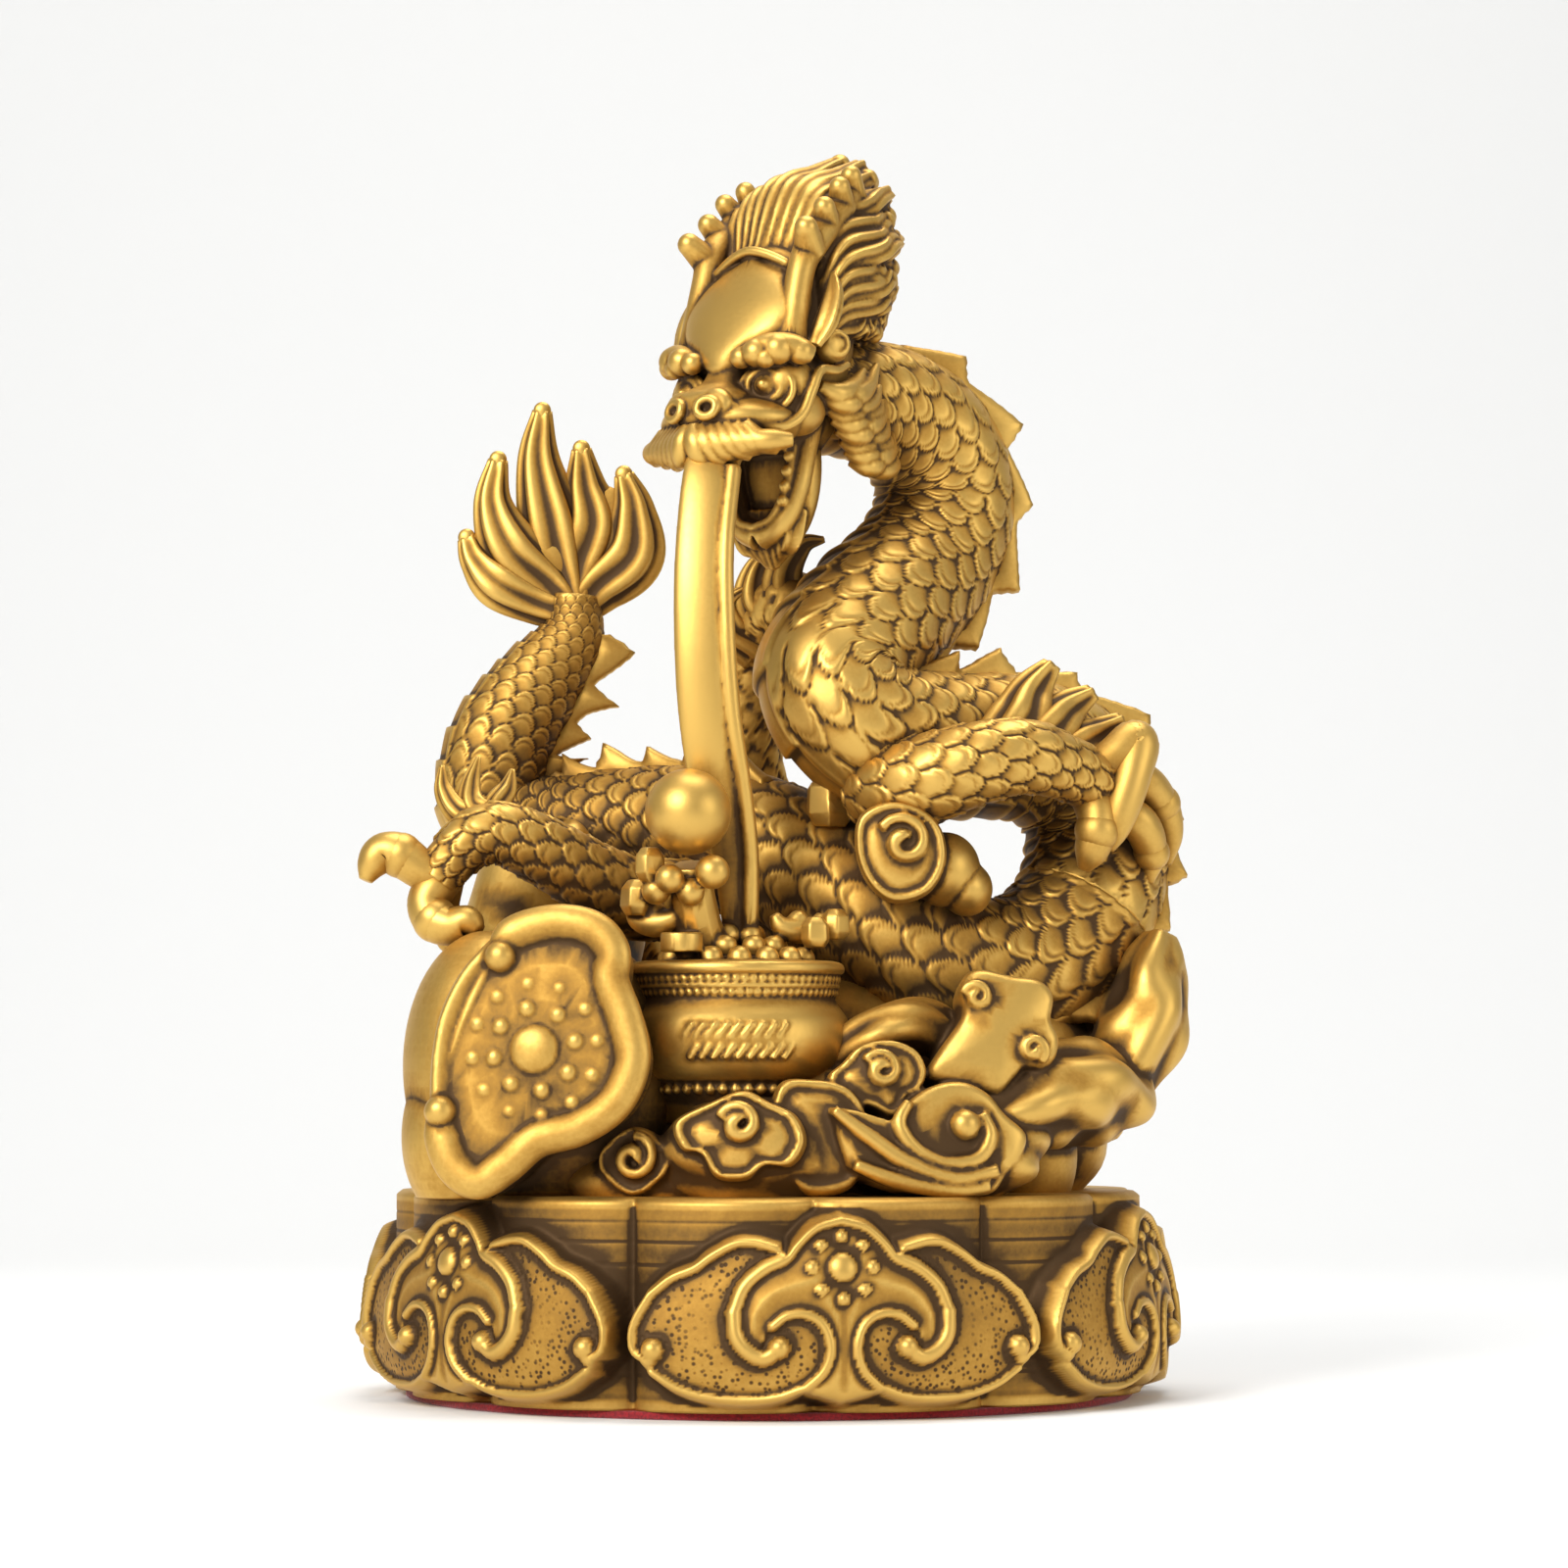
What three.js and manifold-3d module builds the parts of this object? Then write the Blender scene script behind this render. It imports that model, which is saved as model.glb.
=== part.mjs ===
// A cast brass dragon ornament on a round plinth, with a felt pad glued under it.
// The dragon coils over clouds and pours a stream into a treasure pot, beside a ruyi head.
// Millimetres, +Z up, and the front of the ornament faces -Y. The origin is the middle of the underside.
import * as THREE from "three";
import { mergeVertices } from "three/addons/utils/BufferGeometryUtils.js";
import Module from "manifold-3d";

// Driving dimensions
const FELT_THICKNESS = 1.2;
const FELT_RADIUS = 59;
const PLINTH_TOP = 33;
const DRUM_RADIUS = 57.5;
const COIN_STACKS = 13;
const COIN_SWELL = 3;
const PANEL_COUNT = 6;
const FRONT_PANEL_TURN = 10;
const PANEL_LOW_RADIUS = 62.5;
const PANEL_SWELL = 4.4;
const PANEL_END_HEIGHT = 13;
const PANEL_FOOT = 2;
const PANEL_SHOULDER = 26;
const PANEL_CROWN = 30.5;
const PANEL_CROWN_SHARE = 0.38;

const BODY_SIDES = 9;
const LIMB_SIDES = 6;
const FIN_ROOT = 3.2;
const FIN_EDGE = 0.9;

const POT = { x: -5, y: -29, foot: 47, height: 21.5, rim: 16.2, belly: 18, neck: 15.2, base: 12.5 };
const STREAM = { width: 9.4, depth: 4.6 };
const PEARL_RADIUS = 6.6;

const RUYI = { x: -35, y: -43, z: 55, radius: 15.5, lobe: 3.5, turn: -22, thickness: 7, boss: 4 };
const HEAD = { x: -3, y: -18, z: 166, yaw: -38 };

// The dragon's backbone from the nape to the root of the tail fin: x, y, z and the radius of the body.
const SPINE = [
  [6, -9, 161, 8.5],
  [17.5, 1, 161.5, 10],
  [26, 7, 156, 11],
  [28.8, 9, 146, 11.4],
  [24.5, 5, 135, 11.8],
  [16, -5, 125.5, 12.2],
  [9.5, -13, 115.5, 12],
  [15.5, -14, 106.5, 11.6],
  [28, -7, 104.5, 11.6],
  [41, 0, 104.5, 11.6],
  [50.5, 4, 99.5, 11.6],
  [53.5, 4, 89, 11.6],
  [50.5, -1, 77.5, 11.8],
  [41, -6, 68.5, 12.2],
  [28, -9, 69, 12.4],
  [15, -8, 77, 12.4],
  [2.5, -2, 86, 12],
  [-10.5, 6, 91, 11],
  [-24, 12, 92, 10],
  [-37, 15, 91.5, 9.4],
  [-46.5, 15, 96, 9],
  [-45.5, 15, 106.5, 8.8],
  [-39.5, 17, 116.5, 7.6],
  [-33.4, 18, 125, 5.3],
  [-32.8, 18, 132, 3.6],
];
// Between these shares of the backbone the body rolls half a turn, which takes its fin from one side to the other.
const BODY_ROLL = { from: 0.45, to: 0.76 };

// The body is skinned in stretches, because it folds against itself at the chest. Each ends inside the next.
const STRETCHES = [
  { from: 0, to: 0.245, steps: 10 },
  { from: 0.255, to: 0.5, steps: 10 },
  { from: 0.49, to: 0.74, steps: 10 },
  { from: 0.73, to: 1, steps: 11 },
];
const CHEST = 0.25;

const FINS = [
  { from: 0.045, to: 0.235, teeth: 6, height: 3.6 },
  { from: 0.31, to: 0.42, teeth: 3, height: 3.4 },
  { from: 0.43, to: 0.56, teeth: 4, height: 3 },
  { from: 0.66, to: 0.8, teeth: 4, height: 4 },
  { from: 0.83, to: 0.985, teeth: 5, height: 6 },
];

const wasm = await Module();
wasm.setup();

const brass = new THREE.MeshStandardMaterial({ color: 0xb48a34, roughness: 0.36, metalness: 1 });
const darkBrass = new THREE.MeshStandardMaterial({ color: 0x9c7830, roughness: 0.42, metalness: 1 });
const redFelt = new THREE.MeshStandardMaterial({ color: 0x8c1620, roughness: 0.95, metalness: 0 });

const radians = THREE.MathUtils.degToRad;
const vector = (place) => new THREE.Vector3(place[0], place[1], place[2]);
const mix = THREE.MathUtils.lerp;

// A closed mesh as a solid that can be joined and cut.
function solidOf(geometry) {
  const bare = geometry.clone();
  bare.deleteAttribute("normal");
  bare.deleteAttribute("uv");
  const merged = mergeVertices(bare, 1e-4);
  const corners = merged.index.array;
  const kept = [];
  for (let i = 0; i < corners.length; i += 3) {
    const [a, b, c] = [corners[i], corners[i + 1], corners[i + 2]];
    if (a !== b && b !== c && c !== a) kept.push(a, b, c);
  }
  return new wasm.Manifold(
    new wasm.Mesh({
      numProp: 3,
      vertProperties: merged.attributes.position.array,
      triVerts: new Uint32Array(kept),
    }),
  );
}

function geometryOf(solid) {
  const mesh = solid.getMesh();
  const geometry = new THREE.BufferGeometry();
  geometry.setAttribute("position", new THREE.BufferAttribute(mesh.vertProperties, 3));
  geometry.setIndex(new THREE.BufferAttribute(mesh.triVerts, 1));
  geometry.computeVertexNormals();
  return geometry;
}

// All the pieces as one body. A pocket sealed between them is metal too, so only the outer body is kept.
function castTogether(geometries) {
  const joined = wasm.Manifold.union(geometries.map(solidOf));
  const bodies = joined.decompose();
  return bodies.reduce((best, body) => (body.volume() > best.volume() ? body : best));
}

// A closed skin over a row of rings with the same number of points, each end closed by a fan.
function skin(rings) {
  const sides = rings[0].length;
  const points = rings.flat();
  const middle = (ring) => ring.reduce((sum, p) => sum.add(p), new THREE.Vector3()).divideScalar(sides);
  points.push(middle(rings[0]), middle(rings[rings.length - 1]));
  const firstMiddle = points.length - 2;
  const lastMiddle = points.length - 1;
  const lastRing = (rings.length - 1) * sides;
  const corners = [];
  for (let j = 0; j < sides; j++) {
    const k = (j + 1) % sides;
    corners.push(firstMiddle, k, j, lastMiddle, lastRing + j, lastRing + k);
    for (let i = 0; i < rings.length - 1; i++) {
      const low = i * sides;
      const high = low + sides;
      corners.push(low + j, low + k, high + j, low + k, high + k, high + j);
    }
  }
  const geometry = new THREE.BufferGeometry().setFromPoints(points);
  geometry.setIndex(corners);
  return geometry;
}

// A smooth route through places with a radius each. at(t) gives the point, the radius and a frame whose
// "out" lies in the ornament's front plane, to the left of the way the route runs, turned by roll.
function route(places, roll = () => 0) {
  const line = new THREE.CatmullRomCurve3(places.map(vector), false, "catmullrom", 0.5);
  const widths = places.map((place) => new THREE.Vector3(place[3], 0, 0));
  const thickness = new THREE.CatmullRomCurve3(widths, false, "catmullrom", 0.5);
  const depthAxis = new THREE.Vector3(0, 1, 0);
  return {
    at(t) {
      const along = line.getTangent(t);
      const flat = new THREE.Vector3().crossVectors(along, depthAxis).normalize();
      const back = new THREE.Vector3().crossVectors(flat, along);
      const angle = roll(t);
      const out = flat.multiplyScalar(Math.cos(angle)).addScaledVector(back, Math.sin(angle));
      const across = new THREE.Vector3().crossVectors(along, out);
      return { point: line.getPoint(t), radius: thickness.getPoint(t).x, along, out, across };
    },
  };
}

// A round or oval bar along a route. flatten is its extent across, as a share of its extent out.
function bar(way, steps, sides, flatten = 1, from = 0, to = 1) {
  const rings = [];
  for (let i = 0; i <= steps; i++) {
    const { point, radius, out, across } = way.at(mix(from, to, i / steps));
    const ring = [];
    for (let j = 0; j < sides; j++) {
      const angle = (2 * Math.PI * j) / sides;
      const p = point.clone().addScaledVector(out, radius * Math.cos(angle));
      ring.push(p.addScaledVector(across, radius * flatten * Math.sin(angle)));
    }
    rings.push(ring);
  }
  return skin(rings);
}

const limb = (places, steps = 4, sides = LIMB_SIDES) => bar(route(places), steps, sides);

// A toothed fin standing on the outer side of a route: each tooth rises slowly and drops back at its tip.
function fin(way, { from, to, teeth, height }) {
  const STEPS_PER_TOOTH = 2;
  const RISE = [0.35, 1];
  const SUNK = 2.5;
  const steps = teeth * STEPS_PER_TOOTH;
  const rings = [];
  for (let i = 0; i <= steps; i++) {
    const { point, radius, along, out, across } = way.at(mix(from, to, i / steps));
    const rise = height * (i === steps ? RISE[0] : RISE[i % STEPS_PER_TOOTH]);
    const foot = point.clone().addScaledVector(out, radius - SUNK);
    const tip = point.clone().addScaledVector(out, radius + rise).addScaledVector(along, rise * 0.4);
    rings.push([
      foot.clone().addScaledVector(across, -FIN_ROOT / 2),
      tip.clone().addScaledVector(across, -FIN_EDGE / 2),
      tip.clone().addScaledVector(across, FIN_EDGE / 2),
      foot.clone().addScaledVector(across, FIN_ROOT / 2),
    ]);
  }
  return skin(rings);
}

// An oval lump: half extents, place, and a turn about the upright axis in degrees.
function lump([halfX, halfY, halfZ], [x, y, z], turn = 0, around = 8, up = 6) {
  const shape = new THREE.SphereGeometry(1, around, up);
  shape.scale(halfX, halfZ, halfY);
  shape.rotateX(Math.PI / 2);
  shape.rotateZ(radians(turn));
  return shape.translate(x, y, z);
}

// The felt pad is a flat disc.
function feltPad() {
  const disc = new THREE.CylinderGeometry(FELT_RADIUS, FELT_RADIUS, FELT_THICKNESS, 36);
  return disc.rotateX(Math.PI / 2).translate(0, 0, FELT_THICKNESS / 2);
}

// The plinth's drum is a ring of coin stacks side by side, so its outline is a row of shallow arcs.
function drumRadius(angle) {
  const share = THREE.MathUtils.euclideanModulo((angle * COIN_STACKS) / (2 * Math.PI), 1);
  return DRUM_RADIUS + COIN_SWELL * Math.sin(Math.PI * share);
}

// Upper edge of a ruyi cloud panel at a share of its half width: two shoulders with a crown between them.
function panelTop(share) {
  const shoulder = PANEL_END_HEIGHT + (PANEL_SHOULDER - PANEL_END_HEIGHT) * Math.sqrt(1 - share ** 2);
  const crown = Math.cos((Math.min(Math.abs(share) / PANEL_CROWN_SHARE, 1) * Math.PI) / 2);
  return shoulder + (PANEL_CROWN - PANEL_SHOULDER) * crown;
}

function panelFoot(share) {
  return PANEL_END_HEIGHT - (PANEL_END_HEIGHT - PANEL_FOOT) * Math.sqrt(1 - share ** 2);
}

// The panels swell out of the drum like a cushion, widest a little below half their height.
function panelRadius(height) {
  const share = THREE.MathUtils.clamp((height - PANEL_FOOT) / (PANEL_CROWN - PANEL_FOOT), 0, 1);
  return PANEL_LOW_RADIUS + PANEL_SWELL * Math.sin(Math.PI * share ** 0.6);
}

// The plinth is one skin round the drum and its panels. Each column of points follows the edge of its panel,
// and a column of the bare drum parts one panel from the next.
function plinth() {
  const COLUMNS = 10;
  const END_SHARE = 0.97;
  const EDGE = 0.8;
  const INNER = [0.12, 0.35, 0.65, 0.88];
  const spacing = (2 * Math.PI) / PANEL_COUNT;
  const columns = [];
  for (let i = 0; i < PANEL_COUNT * (COLUMNS + 1); i++) {
    const place = i % (COLUMNS + 1);
    const isGroove = place === COLUMNS;
    const share = isGroove ? 1 : mix(-END_SHARE, END_SHARE, place / (COLUMNS - 1));
    const edgeShare = THREE.MathUtils.clamp(share, -END_SHARE, END_SHARE);
    const [foot, top] = [panelFoot(edgeShare), panelTop(edgeShare)];
    const turn = radians(FRONT_PANEL_TURN - 90) + spacing * (Math.floor(i / (COLUMNS + 1)) + share / 2);
    const drum = drumRadius(turn);
    const faceHeights = INNER.map((inner) => mix(foot + EDGE, top - EDGE, inner));
    const face = faceHeights.map((height) => [isGroove ? drum : panelRadius(height), height]);
    const profile = [[drum, FELT_THICKNESS], [drum, foot], ...face, [drum, top], [drum, PLINTH_TOP]];
    const direction = new THREE.Vector3(Math.cos(turn), Math.sin(turn), 0);
    columns.push(profile.map(([radius, height]) => direction.clone().multiplyScalar(radius).setZ(height)));
  }
  return skin(columns[0].map((_, level) => columns.map((column) => column[level])));
}

const rollOfBody = (t) => -Math.PI * THREE.MathUtils.smoothstep(t, BODY_ROLL.from, BODY_ROLL.to);
const backbone = route(SPINE, rollOfBody);

function body() {
  const { point, radius } = backbone.at(CHEST);
  const chest = lump([radius, radius, radius], point.toArray(), 0, 10, 8);
  const lengths = STRETCHES.map(({ from, to, steps }) => bar(backbone, steps, BODY_SIDES, 1, from, to));
  return [chest, ...lengths];
}

// The tail fin: pointed flames that fan out from the end of the tail.
function tailFin() {
  const ROOT = [-32.8, 17.5, 129.5, 3.6];
  const FLAMES = [
    [[-44, 17.5, 133.5, 4], [-50.8, 18, 141.5, 1.4]],
    [[-43.6, 18, 141, 4.4], [-45.8, 18, 155, 1.4]],
    [[-37.5, 19, 147, 5], [-38.4, 18.6, 163.4, 1.5]],
    [[-30.5, 19.5, 145, 4.8], [-31.8, 19, 157, 1.4]],
    [[-23.6, 19, 140.5, 4.8], [-24.6, 18.4, 152.6, 1.4]],
  ];
  return FLAMES.map(([belly, tip]) => limb([ROOT, belly, tip], 3, 5));
}

// A paw: toes that spread from the wrist, each arched, with a claw at the end.
function paw(wrist, toes) {
  return toes.map(([knuckle, claw]) => limb([[...wrist, 3.8], [...knuckle, 3.5], [...claw, 1.4]], 3, 5));
}

function foreleg() {
  const arm = [
    [16, -16, 96.6, 5.8],
    [25, -23.5, 98.2, 7],
    [34, -24.6, 100.8, 6.2],
    [45, -20.5, 101, 5.2],
    [53.5, -13, 96.5, 4],
  ];
  const toes = [
    [[58.4, -14, 103.6], [55, -16.4, 90]],
    [[52.4, -17, 91], [50.4, -15.4, 84.6]],
    [[63, -6.5, 95.6], [64.6, -1, 86.4]],
    [[60.4, -9.4, 90.6], [61.4, -6, 83]],
  ];
  const tuft = [
    [[38, -20, 103, 4.4], [42, -14.5, 112, 3], [45.6, -12, 117, 1.4]],
    [[44, -18.5, 102, 4], [49, -14, 108, 2.8], [54.5, -10.5, 111, 1.3]],
  ];
  return [limb(arm, 6, 6), ...paw([53.5, -13, 96.5], toes), ...tuft.map((hair) => limb(hair, 3, 4))];
}

function hindLeg() {
  const thigh = [
    [-14, -4, 80, 6.4],
    [-24, -16, 80.6, 6],
    [-36, -22.4, 87, 5.2],
    [-46, -24.5, 88.6, 4.5],
    [-52, -25.2, 82.6, 3.6],
  ];
  const toes = [
    [[-58, -26, 86.4], [-63, -27, 82.6]],
    [[-53.6, -26.4, 77.4], [-45.6, -30.2, 74.4]],
    [[-52, -21, 77.6], [-47, -20, 71]],
  ];
  const tuft = [
    [[-43.6, -24, 91, 2.6], [-50, -22, 94.6, 2], [-52, -20, 100.4, 0.8]],
    [[-43.4, -24, 91.4, 2.6], [-45.6, -22.6, 95.6, 2], [-45, -20, 101.4, 0.8]],
  ];
  return [limb(thigh, 6, 6), ...paw([-52, -25.2, 82.6], toes), ...tuft.map((hair) => limb(hair, 3, 4))];
}

// The far legs rest on the clouds behind, and only the elbow of the front one shows past the chest.
function farLegs() {
  const front = [
    [12, 0, 118, 7.4],
    [4, 3, 128, 6],
    [-2, 9, 124, 5.2],
    [-3, 15, 108, 4.4],
    [1, 21, 93, 3.8],
  ];
  const hind = [
    [-22, 14, 88, 7.4],
    [-25, 26, 81, 6],
    [-22, 33, 69, 4.8],
    [-24, 36, 61, 3.8],
  ];
  return [limb(front, 6), limb(hind, 5)];
}

// The head is built facing -Y about the middle of the brow, then turned to where the dragon looks.
function head() {
  const place = new THREE.Matrix4().makeTranslation(HEAD.x, HEAD.y, HEAD.z);
  place.multiply(new THREE.Matrix4().makeRotationZ(radians(HEAD.yaw)));
  const shapes = [
    lump([12, 13.5, 14], [0, 8, 3], 0, 9, 6),
    lump([9.5, 8, 10.5], [0, 2, 7], 0, 9, 6),
    lump([6.6, 10, 5], [0, -5.6, -9], 0, 9, 6),
    lump([12.5, 8.5, 3.2], [0, -7.5, -14.4], 0, 9, 4),
    bar(route([[0, 9, -8, 7], [0, 8, -16, 6.2], [0, 7, -25, 5], [0, 6, -33, 1.4]]), 5, 7),
  ];
  const LOCKS = [
    [[0, 4, 13], [0, 25, 34.5]],
    [[5, 5, 12], [7, 26, 32]],
    [[8, 7, 9], [11, 28, 27]],
    [[9, 9, 4], [13, 26, 18]],
    [[9, 10, -1], [13, 26, 6]],
  ];
  for (const side of [-1, 1]) {
    const brow = [[side * 4.4, -7.6, -1.4, 1.8], [side * 9, -6.4, 0.4, 2.6], [side * 14, -2, -0.8, 1.8]];
    const horn = [
      [side * 10, -2, 0, 2.8],
      [side * 9.8, 0.8, 14, 2.4],
      [side * 10.4, 6.4, 21.6, 2.6],
      [side * 10.2, 14, 29, 2.1],
    ];
    const tine = [[side * 10.3, 2.4, 17, 2.2], [side * 12, -0.9, 20.4, 1.7]];
    const cheek = [[side * 10.6, 4, -8, 4.4], [side * 11.6, 11, -9, 4.4], [side * 11, 19, -8, 2.6]];
    for (const places of [brow, horn, tine, cheek]) shapes.push(limb(places, places.length - 1, 5));
    for (const [root, tip] of side > 0 ? LOCKS : LOCKS.slice(1)) {
      const middle = [0.5 * (root[0] + tip[0]) + 1, 0.5 * (root[1] + tip[1]), 0.55 * (root[2] + tip[2]) + 1];
      const bends = [[...root, 4.8], [...middle, 5], [...tip, 2.2]];
      shapes.push(limb(bends.map(([x, y, z, radius]) => [side * x, y, z, radius]), 3, 5));
    }
  }
  return shapes.map((shape) => shape.applyMatrix4(place));
}

// The stream that falls from the mouth into the pot is a flat ribbon, and the pearl hangs in front of it.
function streamAndPearl() {
  const half = STREAM.width / 2;
  const fall = [
    [-5.5, -25, 153, half],
    [-8, -31, 146, half],
    [-9.6, -34.5, 134, half],
    [-10, -36, 121, half],
    [-9.4, -35.5, 108, half * 1.02],
    [-8, -33.5, 96, half * 1.05],
    [-6, -31, 86, half],
    [-5, -29, 76, half],
  ];
  const ribbon = bar(route(fall), 10, 8, STREAM.depth / STREAM.width);
  return [ribbon, lump([PEARL_RADIUS, PEARL_RADIUS, PEARL_RADIUS], [-12.4, -39.5, 92], 0, 12, 8)];
}

// The treasure pot is one solid casting, filled to the top of its heap of pearls.
function pot() {
  const profile = [
    [0, 0],
    [POT.base, 0],
    [POT.base + 3.5, 3],
    [POT.belly, 9],
    [POT.belly - 0.5, 13.5],
    [POT.neck, 17.5],
    [POT.rim, 19],
    [POT.rim, POT.height],
    [POT.rim - 3, POT.height + 1.5],
    [POT.rim * 0.55, POT.height + 7],
    [0, POT.height + 9.5],
  ];
  const turned = new THREE.LatheGeometry(profile.map(([r, z]) => new THREE.Vector2(r, z)), 18);
  return turned.rotateX(Math.PI / 2).translate(POT.x, POT.y, POT.foot);
}

const ruyiEdge = (angle) =>
  (RUYI.radius + RUYI.lobe * Math.cos(3.2 * angle)) * (1 + 0.08 * (1 - Math.cos(angle)));

// The ruyi head: a three-lobed plaque with a rounded edge and a boss, on a thick back.
function ruyi() {
  const EDGE_POINTS = 32;
  const outline = [];
  for (let i = 0; i < EDGE_POINTS; i++) {
    const angle = -Math.PI + (2 * Math.PI * (i + 0.5)) / EDGE_POINTS;
    outline.push(new THREE.Vector2(Math.cos(angle), Math.sin(angle)).multiplyScalar(ruyiEdge(angle) - 2));
  }
  const bevel = { bevelThickness: 2, bevelSize: 2, bevelSegments: 1 };
  const plaque = new THREE.ExtrudeGeometry(new THREE.Shape(outline), { depth: RUYI.thickness - 4, ...bevel });
  const shapes = [plaque];
  const front = RUYI.thickness - 2;
  shapes.push(new THREE.SphereGeometry(RUYI.boss, 12, 6).scale(1, 1, 0.5).translate(0, 0, front));
  const stand = new THREE.Matrix4().makeTranslation(RUYI.x, RUYI.y, RUYI.z);
  stand.multiply(new THREE.Matrix4().makeRotationX(Math.PI / 2));
  stand.multiply(new THREE.Matrix4().makeRotationZ(radians(RUYI.turn)));
  const back = lump([21.5, 19, 27], [RUYI.x + 0.5, RUYI.y + 16, RUYI.z - 7], 0, 10, 7);
  return [...shapes.map((shape) => shape.applyMatrix4(stand)), back];
}

// A cloud is an oval lump that faces outwards at an azimuth.
const cloud = (place, halves, azimuth) => lump(halves, place, azimuth, 9, 5);

function clouds() {
  const FRONT = [
    [[20.5, -20, 87.5], [8.5, 7, 9.5], 0],
    [[37.5, -34, 60], [10, 7, 11], 10],
    [[17.5, -43, 51.5], [8.5, 7, 7.5], 5],
    [[29.5, -40, 43.5], [16, 10, 10], 20],
    [[-3.5, -47, 42], [11.5, 8, 7.5], 0],
    [[7, -43, 41.5], [8, 7, 8.5], 0],
    [[57, -8, 62], [8, 8, 12], 60],
    [[48, -17, 48], [11, 10, 10.5], 45],
    [[-20, -41, 38], [7, 7, 5.5], 0],
  ];
  const BACK_COUNT = 5;
  const BACK_REACH = 38;
  const shapes = FRONT.map((settings) => cloud(...settings));
  for (let i = 0; i < BACK_COUNT; i++) {
    const azimuth = 105 + i * 37;
    const turn = radians(azimuth);
    const place = [BACK_REACH * Math.sin(turn), -BACK_REACH * Math.cos(turn), 46 + 8 * (i % 2)];
    shapes.push(cloud(place, [14, 10, 12], azimuth));
  }
  return shapes;
}

// The bank of cloud that everything rises from.
function cloudBank() {
  return [
    lump([46, 43, 34], [0, 2, 36], 0, 18, 10),
    lump([18, 20, 24], [41, -3, 50], 0, 10, 7),
    lump([15, 16, 22], [-36, 6, 72]),
  ];
}

function dragonCasting() {
  const shapes = [
    ...body(),
    ...FINS.map((settings) => fin(backbone, settings)),
    ...tailFin(),
    ...foreleg(),
    ...hindLeg(),
    ...farLegs(),
    ...head(),
    ...streamAndPearl(),
    pot(),
    ...ruyi(),
    ...clouds(),
    ...cloudBank(),
  ];
  const CUT = 300;
  const below = new THREE.BoxGeometry(CUT, CUT, CUT).translate(0, 0, PLINTH_TOP - CUT / 2);
  const bodies = castTogether(shapes).subtract(solidOf(below)).decompose();
  return geometryOf(bodies.reduce((best, body) => (body.volume() > best.volume() ? body : best)));
}

function named(name, geometry, material) {
  const mesh = new THREE.Mesh(geometry, material);
  mesh.name = name;
  return mesh;
}

const ornament = new THREE.Group();
ornament.add(named("felt_pad", feltPad(), redFelt));
ornament.add(named("plinth", plinth(), darkBrass));
ornament.add(named("dragon_casting", dragonCasting(), brass));

export default ornament;
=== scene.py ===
import math

import bpy
import numpy as np
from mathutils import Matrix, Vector
from mathutils.bvhtree import BVHTree


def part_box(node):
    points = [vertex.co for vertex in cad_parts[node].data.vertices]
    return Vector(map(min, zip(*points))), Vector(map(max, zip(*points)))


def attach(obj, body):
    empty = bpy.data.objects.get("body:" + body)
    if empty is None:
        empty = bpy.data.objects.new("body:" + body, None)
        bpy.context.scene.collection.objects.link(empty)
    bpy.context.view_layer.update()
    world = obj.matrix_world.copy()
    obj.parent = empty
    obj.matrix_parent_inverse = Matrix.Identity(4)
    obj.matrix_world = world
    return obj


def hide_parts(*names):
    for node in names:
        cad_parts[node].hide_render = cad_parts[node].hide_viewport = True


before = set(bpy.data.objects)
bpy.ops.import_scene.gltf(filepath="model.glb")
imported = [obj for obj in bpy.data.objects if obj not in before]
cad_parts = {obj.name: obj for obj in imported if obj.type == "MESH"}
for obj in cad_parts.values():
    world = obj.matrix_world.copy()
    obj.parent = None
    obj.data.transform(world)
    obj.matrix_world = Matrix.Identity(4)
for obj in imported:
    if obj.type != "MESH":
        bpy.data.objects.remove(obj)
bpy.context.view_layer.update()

# Felt pad
# A disc of red felt, cut a little smaller than the plinth and glued under it.
# Only its edge shows, as a red line along the table.
MM = 0.001
FELT_ROWS = ((0.3, 0.0), (0.0, 0.25), (0.0, 0.95), (0.3, 1.2))
FELT_COLUMNS = 240
FELT_RED = (0.36, 0.012, 0.02, 1.0)
FELT_DARK = (0.16, 0.006, 0.01, 1.0)


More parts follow.
